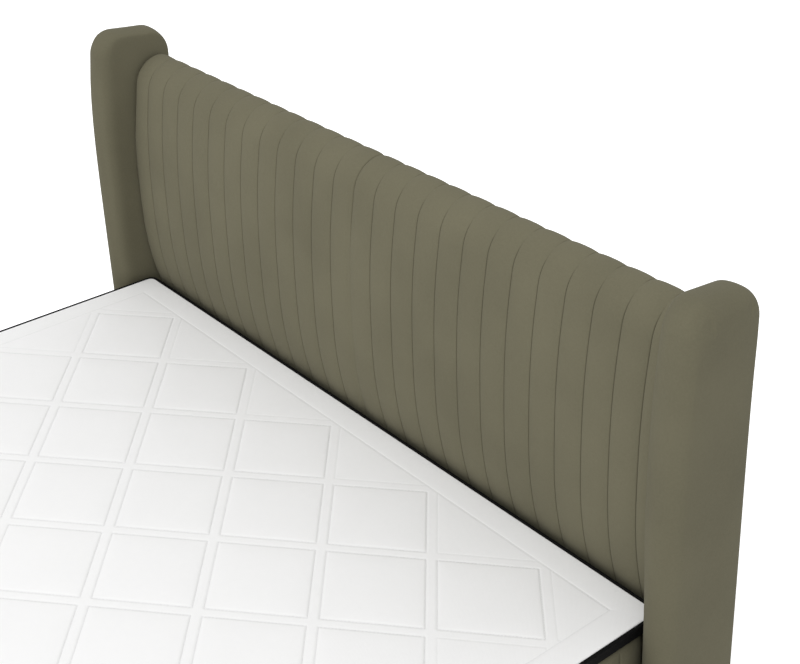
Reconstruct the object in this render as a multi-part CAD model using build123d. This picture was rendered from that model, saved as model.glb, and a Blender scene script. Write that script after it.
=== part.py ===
from build123d import *
import math
import os

# A double box spring bed: two sprung box bases, a pocket sprung mattress, a quilted topper
# and a headboard of two channelled cushions between two padded wings. All in millimetres.
# X runs across the bed, Y from its foot to its headboard and Z up. The origin is on the
# floor, under the middle of the whole bed.

os.makedirs("parts", exist_ok=True)

# Driving sizes
bed_width = 1800.0
bed_length = 2000.0
foot_height = 50.0
box_height = 280.0
mattress_height = 220.0
topper_height = 42.0
headboard_depth = 133.0
band_bulge = 4.0
cushion_rise = 603.0
wing_rise = 676.0

# Clearances and overruns
rest_gap = 0.3
seam_gap = 1.0
hole_clearance = 0.3
overrun = 5.0

# Channels sewn in the side panels, and how panels roll in at their top and bottom edges
channel_width = 83.0
channel_crown = 5.0
channel_steps = 3
corner_steps = 4
panel_roll = 9.0
panel_inset = 4.0

# Levels and planes that the sub-parts share
box_bottom = foot_height
box_top = box_bottom + box_height
mattress_bottom = box_top + rest_gap
mattress_top = mattress_bottom + mattress_height
topper_bottom = mattress_top + rest_gap
topper_top = topper_bottom + topper_height
overall_length = band_bulge + bed_length + headboard_depth
foot_y = band_bulge - overall_length / 2
back_y = overall_length / 2
head_y = back_y - headboard_depth
half_width = bed_width / 2

# Box base
box_joint = 2.0
border_thickness = 22.0
plain_border = 6.0
rail_thickness = 24.0
rail_height = 140.0
bar_thickness = 22.0
bar_count = 10
dust_cover_thickness = 1.5
deck_thickness = 6.0
box_pad_thickness = 30.0
top_cover_thickness = 4.0
cover_corner = 18.0
spring_row_pitch = 66.0
spring_row_groove = 8.0

# Feet and their plates
foot_top_width = 66.0
foot_base_width = 50.0
foot_chamfer = 7.0
foot_setback = 95.0
plate_width = 84.0
plate_thickness = 3.0

# Plates that join the two boxes under their inner rails
connector_width = 70.0
connector_length = 110.0
connector_setback = 240.0

# Mattress
mattress_corner = 45.0
mattress_clear = 1.0
mattress_border = 20.0
mattress_base_cover = 4.0
mattress_base_pad = 20.0
mattress_comfort = 40.0
mattress_top_cover = 6.0

# Topper
topper_corner = 42.0
white_edge = 8.0
white_edge_round = 5.0
white_edge_steps = 3
band_thickness = 8.0
band_recess = 2.0
topper_base_cover = 2.0
quilt_border = 61.0
diamond_width = 333.3
diamond_length = 282.1
diamond_seam = 22.0
diamond_rise = 5.0
diamond_slope = 62.0
diamond_least = 60.0

# Headboard cushions. Depths are behind the bed's head plane, rises above the topper.
cushion_pitch = 69.9
cushion_crown = 8.0
cushion_top_crown = 5.0
cushion_end_round = 30.0
cushion_end_steps = 3
cushion_back = 88.0
cushion_rear = 120.0
cushion_overhang = 50.0
crest_depth = 95.0
shoulder_depth = 20.0
shoulder_rise = 528.0
belly_depth = -2.0
belly_rise = 220.0
lower_depth = 9.0
lower_rise = 70.0
toe_depth = 40.0
cushion_drop = 50.0
rear_bow = 12.0
belly_bow = 4.5
lower_bow = 4.0
toe_bow = 8.0
rear_steps = 2
shoulder_steps = 5
belly_steps = 3
toe_steps = 2

# Headboard frame
headboard_lift = 60.0
lower_pad_thickness = 14.0
lower_pad_top = 10.0
lower_pad_round = 8.0
cushion_board = 9.0
back_cover_thickness = 6.0
upright_width = 40.0
upright_count = 10
headboard_rail = 60.0

# Wings
wing_gap = 12.0
wing_thickness = 82.0
wing_forward = 82.0
wing_front_corner = 94.0
wing_back_corner = 82.0
wing_edge_round = 38.0
wing_corner_steps = 5
wing_rim_steps = 3
wing_core_inset = 38.0
wing_core_thickness = 30.0
glide_height = 12.0
glide_width = 36.0
glide_sides = 8
glide_setback = 55.0

# Bolts
bolt_radius = 5.0
bolt_sides = 10
bolt_head_sides = 6
bolt_head_width = 17.0
bolt_head_height = 6.0
bolt_inset = 180.0
bolt_tail = 30.0
wing_bolt_shares = (0.15, 0.85)

# Sizes that the headboard's pieces take from the ones above
lower_top = topper_top - cushion_drop
ledge_z = topper_top + cushion_rise - cushion_overhang
frame_front = head_y + cushion_back + cushion_board
frame_back = back_y - back_cover_thickness
wing_inner = half_width + wing_gap
wing_outer = wing_inner + wing_thickness
wing_top = topper_top + wing_rise
frame_half = wing_inner - seam_gap
frame_bottom = box_bottom + dust_cover_thickness
frame_top = frame_bottom + rail_height
bolt_z = (frame_bottom + frame_top) / 2
sides = {"left": -1, "right": 1}


def save(name, *shapes):
    """Writes one node, as a single solid or a group of separate ones."""
    solids = [solid for shape in shapes for solid in shape.solids()]
    node = solids[0] if len(solids) == 1 else Compound(solids)
    export_step(node, f"parts/{name}.step")


def span(x, y, z):
    """A block between a low and a high value along each axis."""
    size = [high - low for low, high in (x, y, z)]
    middle = [(low + high) / 2 for low, high in (x, y, z)]
    return Pos(*middle) * Box(*size)


def mirrored(side, x):
    """The same stretch of X on the named side of the bed."""
    return tuple(sorted(sides[side] * value for value in x))


def slab(x, y, z, corner):
    """A block whose four upright edges are rounded."""
    plan = RectangleRounded(x[1] - x[0], y[1] - y[0], corner)
    place = Pos((x[0] + x[1]) / 2, (y[0] + y[1]) / 2, z[0])
    return extrude(place * plan, amount=z[1] - z[0])


def prism(start, axis, width, corners, length):
    """A bar with flat sides, from its start point along an axis, by its width across flats."""
    plan = RegularPolygon(width / 2, corners, major_radius=False)
    return extrude(Plane(start, z_dir=axis) * plan, amount=length)


def bolt(start, axis, length):
    """A hexagon bolt whose head's underside is at its start, and the hole that clears it."""
    back = tuple(-value for value in axis)
    width = 2 * bolt_radius
    shank = prism(start, axis, width, bolt_sides, length)
    head = prism(start, back, bolt_head_width, bolt_head_sides, bolt_head_height)
    hole = prism(start, axis, width + 2 * hole_clearance, bolt_sides, length)
    return shank + head, hole


def polygon(points):
    """A flat face inside a closed run of points."""
    return make_face(Polyline(*points, close=True))


def bowed(start, end, bow, steps):
    """Points on a shallow curve whose middle stands off its chord by a bow, without its end."""
    shares = [i / steps for i in range(steps)]
    return [start + (end - start) * t + bow * (4 * t * (1 - t)) for t in shares]


def rounded(centre, first, second, steps):
    """Points on a quarter of an ellipse, from its first half-axis towards its second."""
    turns = [math.pi / 2 * i / steps for i in range(steps + 1)]
    return [centre + first * math.cos(turn) + second * math.sin(turn) for turn in turns]


def seamed(start, end):
    """Sewn channels along one side of an outline that runs anticlockwise seen from above."""
    count = max(1, round((end - start).length / channel_width))
    step = (end - start) / count
    bow = Vector(step.Y, -step.X).normalized() * channel_crown
    channels = [bowed(start + step * i, start + step * (i + 1), bow, channel_steps)
                for i in range(count)]
    return sum(channels, []) + [end]


def plain(start, end):
    """A straight side of an outline."""
    return [start, end]


def padded(outline, z):
    """A panel that rolls in a little at its top and bottom, from one outline of its inset."""
    levels = [
        (z[0], panel_inset),
        (z[0] + panel_roll, 0),
        (z[1] - panel_roll, 0),
        (z[1], panel_inset),
    ]
    return loft([Pos(0, 0, level) * outline(inset) for level, inset in levels], ruled=True)


def side_panel(inner_x, outer_x, y, z):
    """The channelled panel on the right side of a box."""

    def outline(inset):
        seam_x = outer_x - channel_crown - inset
        low, high = Vector(seam_x, y[0] + inset), Vector(seam_x, y[1])
        back_high, back_low = Vector(inner_x, y[1]), Vector(inner_x, y[0] + inset)
        return polygon(seamed(low, high) + [back_high, back_low])

    return padded(outline, z)


def foot_panel(x, outer_y, inner_y, z):
    """The channelled panel at the foot of a box."""

    def outline(inset):
        seam_y = outer_y + channel_crown + inset
        low, high = Vector(x[0], seam_y), Vector(x[1], seam_y)
        back_high, back_low = Vector(x[1], inner_y), Vector(x[0], inner_y)
        return polygon(seamed(low, high) + [back_high, back_low])

    return padded(outline, z)


def ring_outline(x, y, corner, side_maker):
    """A closed outline of four sides and four round corners."""
    centres = [
        Vector(x[1] - corner, y[0] + corner),
        Vector(x[1] - corner, y[1] - corner),
        Vector(x[0] + corner, y[1] - corner),
        Vector(x[0] + corner, y[0] + corner),
    ]
    outward = [Vector(0, -corner), Vector(corner, 0), Vector(0, corner), Vector(-corner, 0)]
    points = []
    for i, centre in enumerate(centres):
        facing, turned = outward[i], outward[(i + 1) % 4]
        points += side_maker(centres[i - 1] + facing, centre + facing)
        points += rounded(centre, facing, turned, corner_steps)[1:-1]
    return polygon(points)


def spring_unit(x, y, z):
    """A pocket spring unit, with a groove between its rows of pockets."""
    rows = max(1, round((y[1] - y[0]) / spring_row_pitch))
    pitch = (y[1] - y[0]) / rows
    half, depth = spring_row_groove / 2, spring_row_groove / 2
    top = [Vector(x[0], y[1], z[1])]
    for i in range(1, rows):
        middle = y[1] - pitch * i
        top.append(Vector(x[0], middle + half, z[1]))
        top.append(Vector(x[0], middle, z[1] - depth))
        top.append(Vector(x[0], middle - half, z[1]))
    top += [Vector(x[0], y[0], z[1]), Vector(x[0], y[0], z[0]), Vector(x[0], y[1], z[0])]
    return extrude(polygon(top), amount=x[1] - x[0], dir=(1, 0, 0))


def box_bolt_places():
    """The X of each bolt that holds a right-hand box to the headboard."""
    return [bolt_inset, half_width - bolt_inset]


def box_bolts():
    """Bolts from inside both boxes through their head rails into the headboard."""
    start_y = head_y - plain_border - rail_thickness
    length = plain_border + rail_thickness + lower_pad_thickness + bolt_tail
    starts = [(sign * x, start_y, bolt_z) for sign in sides.values() for x in box_bolt_places()]
    return zip(*[bolt(start, (0, 1, 0), length) for start in starts])


def feet_places(x, y):
    """The centres of the feet under one box: four corners and the middle."""
    inner = [x[0] + foot_setback, x[1] - foot_setback]
    ends = [y[0] + foot_setback, y[1] - foot_setback]
    places = [(a, b) for a in inner for b in ends]
    return places + [((x[0] + x[1]) / 2, (y[0] + y[1]) / 2)]


def foot(x, y):
    """A square foot with chamfered corners that tapers towards the floor."""
    def plan(width):
        return chamfer(Rectangle(width, width).vertices(), foot_chamfer)
    height = foot_height - plate_thickness
    tapered = loft([plan(foot_base_width), Pos(0, 0, height) * plan(foot_top_width)], ruled=True)
    return Pos(x, y, 0) * tapered


def build_box(side, holes):
    """All the pieces of one box base."""
    x = mirrored(side, (box_joint / 2, half_width))
    wall_inner, wall_outer = box_joint / 2 + plain_border, half_width - border_thickness
    y = (foot_y, head_y)
    inner_y = (foot_y + border_thickness, head_y - plain_border)
    border_z = (frame_bottom, box_top - top_cover_thickness)
    inner_x = mirrored(side, (wall_inner, wall_outer))

    right = side_panel(wall_outer, half_width, y, border_z)
    save(f"{side}_box_side_border", right if side == "right" else mirror(right, Plane.YZ))
    foot_x = mirrored(side, (wall_inner, wall_outer))
    save(f"{side}_box_foot_border", foot_panel(foot_x, foot_y, inner_y[0], border_z))
    lining_x = mirrored(side, (box_joint / 2, wall_inner))
    lining = span(lining_x, (foot_y + panel_roll, head_y), border_z)
    save(f"{side}_box_inner_border", lining)
    head_panel = span(foot_x, (inner_y[1], head_y), border_z)
    save(f"{side}_box_head_border", head_panel.cut(*holes))

    frame_z = (frame_bottom, frame_top)
    shell = span(inner_x, inner_y, frame_z)
    hollow_x = mirrored(side, (wall_inner + rail_thickness, wall_outer - rail_thickness))
    hollow_y = (inner_y[0] + rail_thickness, inner_y[1] - rail_thickness)
    frame = shell - span(hollow_x, hollow_y, (frame_z[0] - overrun, frame_z[1] + overrun))
    pitch = (hollow_y[1] - hollow_y[0] + bar_thickness) / (bar_count + 1)
    for i in range(bar_count):
        low = hollow_y[0] + pitch * (i + 1) - bar_thickness
        frame += span(hollow_x, (low, low + bar_thickness), frame_z)
    save(f"{side}_box_frame", frame.cut(*holes))

    deck_z = (frame_top, frame_top + deck_thickness)
    save(f"{side}_box_deck", span(inner_x, inner_y, deck_z))
    pad_z = (border_z[1] - box_pad_thickness, border_z[1])
    save(f"{side}_box_springs", spring_unit(inner_x, inner_y, (deck_z[1], pad_z[0])))
    save(f"{side}_box_pad", span(inner_x, inner_y, pad_z))
    cover_x = (x[0] + panel_inset, x[1] - panel_inset)
    cover_y = (y[0] + panel_inset, y[1])
    cover = slab(cover_x, cover_y, (border_z[1], box_top), cover_corner)
    save(f"{side}_box_top_cover", cover)
    dust_x = (x[0] + panel_inset, x[1] - panel_inset)
    dust_y = (y[0] + panel_inset, y[1] - panel_inset)
    save(f"{side}_box_dust_cover", span(dust_x, dust_y, (box_bottom, frame_bottom)))

    places = feet_places(x, y)
    save(f"{side}_box_feet", *[foot(*place) for place in places])
    plates = [
        Pos(a, b, box_bottom - plate_thickness / 2) * Box(plate_width, plate_width, plate_thickness)
        for a, b in places
    ]
    save(f"{side}_box_foot_plates", *plates)


def build_connectors():
    """Steel plates that tie the two boxes together, near the foot and the head."""
    plate = Box(connector_width, connector_length, plate_thickness)
    z = box_bottom - plate_thickness / 2
    places = (foot_y + connector_setback, head_y - connector_setback)
    save("box_connectors", *[Pos(0, y, z) * plate for y in places])


def build_mattress():
    """The mattress, which lifts off the boxes."""
    x = (-half_width + mattress_clear, half_width - mattress_clear)
    y = (foot_y + mattress_clear, head_y - mattress_clear)
    base_z = mattress_bottom + mattress_base_cover
    top_z = mattress_top - mattress_top_cover

    def outline(inset):
        edge = channel_crown + inset
        seam_x = (x[0] + edge, x[1] - edge)
        seam_y = (y[0] + edge, y[1] - edge)
        return ring_outline(seam_x, seam_y, mattress_corner, seamed)

    core_x = (x[0] + mattress_border, x[1] - mattress_border)
    core_y = (y[0] + mattress_border, y[1] - mattress_border)
    core_corner = mattress_corner - mattress_border / 2
    ring = padded(outline, (base_z, top_z))
    bore = slab(core_x, core_y, (base_z - overrun, top_z + overrun), core_corner)
    save("mattress_border", ring - bore)

    pad_z = base_z + mattress_base_pad
    comfort_z = top_z - mattress_comfort
    save("mattress_base_pad", slab(core_x, core_y, (base_z, pad_z), core_corner))
    whole_spring = slab(core_x, core_y, (pad_z, comfort_z), core_corner)
    for side in sides:
        half_x = mirrored(side, (seam_gap / 2, core_x[1]))
        unit = spring_unit(half_x, core_y, (pad_z, comfort_z))
        save(f"{side}_mattress_springs", unit & whole_spring)
    save("mattress_comfort_layer", slab(core_x, core_y, (comfort_z, top_z), core_corner))
    edge = channel_crown + panel_inset
    cover_x = (x[0] + edge, x[1] - edge)
    cover_y = (y[0] + edge, y[1] - edge)
    base = slab(cover_x, cover_y, (mattress_bottom, base_z), mattress_corner)
    save("mattress_base_cover", base)
    save("mattress_top_cover", slab(cover_x, cover_y, (top_z, mattress_top), mattress_corner))


def quilt_pads(x, y):
    """The puffed diamonds between the sewn bands, cut off at the border seam."""
    field = Pos((x[0] + x[1]) / 2, (y[0] + y[1]) / 2) * Rectangle(x[1] - x[0], y[1] - y[0])
    half_x, half_y = diamond_width / 2, diamond_length / 2
    shrink = 1 - diamond_seam / 2 * math.hypot(half_x, half_y) / (half_x * half_y)
    diamond = make_face(
        Polyline(
            (half_x * shrink, 0),
            (0, half_y * shrink),
            (-half_x * shrink, 0),
            (0, -half_y * shrink),
            close=True,
        )
    )
    across = math.ceil((x[1] - x[0]) / diamond_width) + 1
    along = math.ceil((y[1] - y[0]) / half_y) + 1
    pads = []
    for j in range(along + 1):
        for i in range(-across, across + 1):
            if (i + j) % 2 == 0:
                continue
            clipped = (Pos(i * half_x, y[1] - j * half_y) * diamond) & field
            for face in clipped.faces() if clipped else []:
                box = face.bounding_box().size
                if min(box.X, box.Y) < diamond_least:
                    continue
                pad = extrude(face, amount=diamond_rise, taper=diamond_slope)
                pads.append(Pos(0, 0, topper_top) * pad)
    return pads


def build_topper():
    """The quilted topper, which lies loose on the mattress."""
    x = (-half_width, half_width)
    y = (foot_y, head_y)
    white_z = topper_top - white_edge
    base_z = topper_bottom + topper_base_cover

    def outline(inset):
        return ring_outline(
            (x[0] + inset, x[1] - inset), (y[0] + inset, y[1] - inset), topper_corner, plain
        )

    round_z = topper_top - white_edge_round
    turns = [math.pi / 2 * i / white_edge_steps for i in range(white_edge_steps + 1)]
    edge = [
        (round_z + white_edge_round * math.sin(turn), white_edge_round * (1 - math.cos(turn)))
        for turn in turns
    ]
    sections = [(white_z, 0)] + edge
    top = loft([Pos(0, 0, z) * outline(inset) for z, inset in sections], ruled=True)
    field_x = (x[0] + quilt_border, x[1] - quilt_border)
    field_y = (y[0] + quilt_border, y[1] - quilt_border)
    save("topper_top_cover", top.fuse(*quilt_pads(field_x, field_y)))

    heights = white_z - base_z
    bulge_shares = [(0, 0), (0.2, 0.64), (0.5, 1), (0.8, 0.64), (1, 0)]
    levels = [
        (base_z + heights * share, band_recess - (band_recess + band_bulge) * bulge)
        for share, bulge in bulge_shares
    ]
    ring = loft([Pos(0, 0, z) * outline(inset) for z, inset in levels], ruled=True)
    core_x = (x[0] + band_thickness, x[1] - band_thickness)
    core_y = (y[0] + band_thickness, y[1] - band_thickness)
    core_corner = topper_corner - band_thickness
    bore = slab(core_x, core_y, (base_z - overrun, white_z + overrun), core_corner)
    save("topper_side_band", ring - bore)
    save("topper_foam_core", slab(core_x, core_y, (base_z, white_z), core_corner))
    cover_x = (x[0] + band_recess, x[1] - band_recess)
    cover_y = (y[0] + band_recess, y[1] - band_recess)
    base = slab(cover_x, cover_y, (topper_bottom, base_z), topper_corner)
    save("topper_base_cover", base)


def cushion_section(x, inset, swell):
    """One upright slice of a headboard cushion.

    The inset draws the slice in towards the board at the cushion's ends. The swell goes from
    0 in a seam to 1 on the crest of a channel.
    """
    forward = inset - swell * cushion_crown
    top = topper_top + cushion_rise + swell * cushion_top_crown - inset

    def at(depth, z, share=1):
        return Vector(x, head_y + depth + forward * share, z)

    toe_share = 0.5
    rear = at(cushion_rear, ledge_z, 0)
    crest = at(crest_depth, top, 0)
    shoulder = at(shoulder_depth, topper_top + shoulder_rise)
    belly = at(belly_depth, topper_top + belly_rise)
    lower = at(lower_depth, topper_top + lower_rise)
    toe = at(toe_depth, lower_top, toe_share)
    points = [at(cushion_back, lower_top, 0), at(cushion_back, ledge_z, 0)]
    points += bowed(rear, crest, Vector(0, rear_bow, rear_bow), rear_steps)
    round_centre = Vector(x, crest.Y, shoulder.Z)
    points += rounded(round_centre, crest - round_centre, shoulder - round_centre,
                      shoulder_steps)[:-1]
    points += bowed(shoulder, belly, Vector(0, -belly_bow), belly_steps)
    points += bowed(belly, lower, Vector(0, -lower_bow), toe_steps)
    points += bowed(lower, toe, Vector(0, -toe_bow), toe_steps)
    return polygon(points + [toe])


def cushion_stations(width):
    """The slices of one cushion: distance from its inner end, inset and swell."""
    channels = max(1, round(width / cushion_pitch))
    seams = [i * cushion_pitch for i in range(channels)] + [width]
    swell_shares = [(0, 0), (0.16, 0.62), (0.5, 1), (0.84, 0.62)]
    stations = []
    for low, high in zip(seams[:-1], seams[1:]):
        stations += [(low + (high - low) * share, swell) for share, swell in swell_shares]
    stations.append((width, 0))
    turns = [math.pi / 2 * i / cushion_end_steps for i in range(cushion_end_steps)]
    rounds = [cushion_end_round * (1 - math.cos(turn)) for turn in turns]
    ends = rounds + [width - distance for distance in rounds]
    clear = cushion_end_round / 2
    inner = [s for s in stations if clear < s[0] < width - clear]
    stations = sorted(inner + [(distance, swell_at(distance, seams)) for distance in ends])
    return [(distance, end_inset(distance, width), swell) for distance, swell in stations]


def swell_at(distance, seams):
    """How full a channel is at a distance from the cushion's inner end."""
    for low, high in zip(seams[:-1], seams[1:]):
        if low <= distance <= high:
            return math.sin(math.pi * (distance - low) / (high - low))
    return 0


def end_inset(distance, width):
    """How far the cushion's outline is drawn in near either of its ends."""
    reach = min(distance, width - distance, cushion_end_round)
    return cushion_end_round - math.sqrt(cushion_end_round**2 - (cushion_end_round - reach) ** 2)


def build_cushion(side):
    """One channelled cushion and the board behind it."""
    inner, outer = seam_gap / 2, wing_inner - 2 * seam_gap
    sections = [
        cushion_section(inner + distance, inset, swell)
        for distance, inset, swell in cushion_stations(outer - inner)
    ]
    cushion = loft(sections, ruled=True)
    board_y = (head_y + cushion_back, frame_front)
    board = span((inner, outer), board_y, (lower_top, ledge_z))
    if side == "left":
        cushion, board = mirror(cushion, Plane.YZ), mirror(board, Plane.YZ)
    save(f"{side}_headboard_cushion", cushion)
    save(f"{side}_cushion_board", board)


def lattice(x, y, z, rails, cut):
    """A timber frame of level rails and evenly spaced uprights."""
    frame = [span(x, y, rail) for rail in rails]
    pitch = (x[1] - x[0] - upright_width) / (upright_count - 1)
    for i in range(upright_count):
        low = x[0] + pitch * i
        frame.append(span((low, low + upright_width), y, z))
    return frame[0].fuse(*frame[1:]).cut(*cut)


def build_headboard(box_holes, wing_holes):
    """The frame, pads and covers of the headboard, without its cushions and wings."""
    x = (-frame_half, frame_half)
    low_y = (head_y + lower_pad_thickness, head_y + cushion_back)
    low_z = (headboard_lift, lower_top - lower_pad_top)
    bolt_rail = (bolt_z - headboard_rail / 2, bolt_z + headboard_rail / 2)
    top_rail = (low_z[1] - headboard_rail, low_z[1])
    lower = lattice(x, low_y, low_z, [bolt_rail, top_rail], box_holes)
    save("headboard_lower_frame", lower)

    back = head_y + cushion_back
    section = [
        Vector(x[0], head_y, headboard_lift),
        Vector(x[0], head_y, lower_top - lower_pad_round),
        Vector(x[0], head_y + lower_pad_round, lower_top),
        Vector(x[0], back, lower_top),
        Vector(x[0], back, low_z[1]),
        Vector(x[0], low_y[0], low_z[1]),
        Vector(x[0], low_y[0], headboard_lift),
    ]
    pad = extrude(polygon(section), amount=x[1] - x[0], dir=(1, 0, 0))
    save("headboard_lower_pad", pad.cut(*box_holes))

    frame_y = (frame_front, frame_back)
    back_z = (headboard_lift, ledge_z)
    middle = (back_z[0] + back_z[1]) / 2
    rails = [
        (back_z[0], back_z[0] + headboard_rail),
        (middle - headboard_rail / 2, middle + headboard_rail / 2),
        (back_z[1] - headboard_rail, back_z[1]),
    ]
    frame = lattice(x, frame_y, back_z, rails, wing_holes)
    filler_y = (head_y + cushion_back, frame_front)
    save("headboard_frame", frame)
    save("headboard_lower_board", span(x, filler_y, (headboard_lift, lower_top)))
    save("headboard_back_cover", span(x, (frame_back, back_y), back_z))
    dust_y = (low_y[0], frame_back)
    dust_z = (headboard_lift - dust_cover_thickness, headboard_lift)
    save("headboard_dust_cover", span(x, dust_y, dust_z))


def wing_outline(x, inset, bottom):
    """The side view of a wing at one X: upright edges and two large top corners."""
    front, back = head_y - wing_forward + inset, back_y - inset
    top = wing_top - inset
    front_corner, back_corner = wing_front_corner - inset, wing_back_corner - inset
    front_centre = Vector(x, front + front_corner, top - front_corner)
    back_centre = Vector(x, back - back_corner, top - back_corner)
    points = [Vector(x, back, bottom), Vector(x, front, bottom)]
    points += rounded(
        front_centre, Vector(0, -front_corner), Vector(0, 0, front_corner), wing_corner_steps
    )
    points += rounded(
        back_centre, Vector(0, 0, back_corner), Vector(0, back_corner), wing_corner_steps
    )
    return polygon(points)


def wing_bolt_places():
    """The Y and Z of each bolt that holds a wing to the frame's end upright."""
    y = (frame_front + frame_back) / 2
    height = ledge_z - headboard_lift
    return [(y, headboard_lift + height * share) for share in wing_bolt_shares]


def wing_bolts():
    """Bolts through the frame's end uprights into the cores of the wings."""
    start_x = frame_half - upright_width
    core_x = wing_inner + (wing_thickness - wing_core_thickness) / 2
    length = core_x + wing_core_thickness / 2 - start_x
    pairs = [
        bolt((sign * start_x, y, z), (sign, 0, 0), length)
        for sign in sides.values()
        for y, z in wing_bolt_places()
    ]
    return zip(*pairs)


def build_wing(side, holes):
    """One padded wing, its timber core and the glides that it stands on."""
    turns = [math.pi / 2 * i / wing_rim_steps for i in range(wing_rim_steps + 1)]
    edge = min(wing_edge_round, (wing_thickness - wing_core_thickness / 2) / 2)
    rim = [(edge * (1 - math.cos(turn)), edge * (1 - math.sin(turn))) for turn in turns]
    slices = rim + [(wing_thickness - reach, inset) for reach, inset in reversed(rim)]
    sections = [wing_outline(wing_inner + reach, inset, glide_height) for reach, inset in slices]
    pad = loft(sections, ruled=True)
    core_x = wing_inner + (wing_thickness - wing_core_thickness) / 2
    core_face = wing_outline(core_x, wing_core_inset, glide_height)
    core = extrude(core_face, amount=wing_core_thickness, dir=(1, 0, 0))
    pad -= core
    if side == "left":
        pad, core = mirror(pad, Plane.YZ), mirror(core, Plane.YZ)
    save(f"{side}_wing_pad", pad.cut(*holes))
    save(f"{side}_wing_core", core.cut(*holes))


def build_glides():
    """Plastic glides under both ends of each wing's core."""
    x = wing_inner + wing_thickness / 2
    ends = (head_y - wing_forward + glide_setback, back_y - glide_setback)
    places = [(sign * x, y, 0) for sign in sides.values() for y in ends]
    glides = [prism(place, (0, 0, 1), glide_width, glide_sides, glide_height) for place in places]
    save("wing_glides", *glides)


def main():
    """Builds every node of the bed."""
    bolts, box_holes = box_bolts()
    save("headboard_bolts", *bolts)
    side_bolts, wing_holes = wing_bolts()
    save("wing_bolts", *side_bolts)
    for side in sides:
        build_box(side, box_holes)
        build_cushion(side)
        build_wing(side, wing_holes)
    build_connectors()
    build_headboard(box_holes, wing_holes)
    build_glides()
    build_mattress()
    build_topper()


main()
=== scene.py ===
"""A double box spring bed in olive velvet, dressed around its fixed construction.

Two sprung boxes carry a loose mattress and a loose quilted topper, and a headboard of two
channelled cushions stands between two padded wings. X runs across the bed, Y from its foot to
its headboard and Z up, in metres.
"""

import logging
import math
from dataclasses import dataclass
from enum import Enum
from functools import cache, cached_property
from typing import Sequence

import bmesh
import bpy
import numpy as np
from mathutils import Matrix, Vector


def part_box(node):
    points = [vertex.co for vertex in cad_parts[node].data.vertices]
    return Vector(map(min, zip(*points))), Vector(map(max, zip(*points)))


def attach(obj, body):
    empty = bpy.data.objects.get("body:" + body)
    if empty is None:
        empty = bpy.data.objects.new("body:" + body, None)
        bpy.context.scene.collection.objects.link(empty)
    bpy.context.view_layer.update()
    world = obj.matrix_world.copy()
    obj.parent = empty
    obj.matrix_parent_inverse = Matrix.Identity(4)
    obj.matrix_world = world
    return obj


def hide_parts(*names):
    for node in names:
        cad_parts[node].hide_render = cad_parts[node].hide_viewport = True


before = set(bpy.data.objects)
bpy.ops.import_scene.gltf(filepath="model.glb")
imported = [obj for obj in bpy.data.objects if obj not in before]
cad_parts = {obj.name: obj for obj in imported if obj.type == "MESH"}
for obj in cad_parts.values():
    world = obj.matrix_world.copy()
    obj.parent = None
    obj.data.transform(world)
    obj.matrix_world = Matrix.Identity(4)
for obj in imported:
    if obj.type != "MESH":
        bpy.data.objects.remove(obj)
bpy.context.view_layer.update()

LOG = logging.getLogger("box_spring_bed")
Array = np.ndarray
Span = tuple[float, float]
Colour = tuple[float, float, float]
Piece, Tree, Node = bpy.types.Object, bpy.types.NodeTree, bpy.types.Node
Socket, Sockets = bpy.types.NodeSocket, bpy.types.bpy_prop_collection
MM = 0.001
TINY = 1e-9


class Body(Enum):
    """The parts of the bed that move apart from each other."""

    BASE = "bed_base"
    MATTRESS = "mattress"
    TOPPER = "topper"


class Side(Enum):
    """The two halves of the bed, by their sign along X."""

    LEFT = -1
    RIGHT = 1

    @property
    def word(self) -> str:
        """The side's name as the nodes spell it."""
        return self.name.lower()


@dataclass(frozen=True)
class BedPlan:
    """The planes and levels that pieces share, read from the construction."""

    half_width: float
    foot_y: float
    head_y: float
    back_y: float
    topper_top: float
    wing_inner: float
    wing_outer: float
    wing_top: float
    wing_front: float
    ledge: float
    quilt_thickness: float = 8 * MM

    @classmethod
    def from_construction(cls) -> "BedPlan":
        """Reads the bed's planes from the boxes of its nodes.

        Returns:
            The plan of the whole bed.
        """
        quilt_low, quilt_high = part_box("topper_top_cover")
        _, band_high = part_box("topper_side_band")
        wing_low, wing_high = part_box("right_wing_pad")
        _, cover_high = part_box("headboard_back_cover")
        return cls(
            half_width=quilt_high.x,
            foot_y=quilt_low.y,
            head_y=quilt_high.y,
            back_y=cover_high.y,
            topper_top=band_high.z + cls.quilt_thickness,
            wing_inner=wing_low.x,
            wing_outer=wing_high.x,
            wing_top=wing_high.z,
            wing_front=wing_low.y,
            ledge=cover_high.z,
        )


# Node trees


class Flow:
    """A node's output that takes part in arithmetic by adding nodes to its tree."""

    def __init__(self, graph: "Graph", socket: Socket) -> None:
        """Wraps one output of a tree."""
        self.graph, self.socket = graph, socket

    def __add__(self, other: "Flow | float") -> "Flow":
        """The sum of two values."""
        return self.graph.math("ADD", self, other)

    def __sub__(self, other: "Flow | float") -> "Flow":
        """The difference of two values."""
        return self.graph.math("SUBTRACT", self, other)

    def __mul__(self, other: "Flow | float") -> "Flow":
        """The product of two values."""
        return self.graph.math("MULTIPLY", self, other)

    def __truediv__(self, other: "Flow | float") -> "Flow":
        """The quotient of two values."""
        return self.graph.math("DIVIDE", self, other)

    def __pow__(self, other: "Flow | float") -> "Flow":
        """One value to the power of another."""
        return self.graph.math("POWER", self, other)

    def flipped(self) -> "Flow":
        """One minus the value."""
        return self.graph.math("SUBTRACT", 1.0, self)

    def blend(self, share: float, other: "Flow") -> "Flow":
        """A share of this value with the rest from another."""
        return self * share + other * (1 - share)


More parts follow.
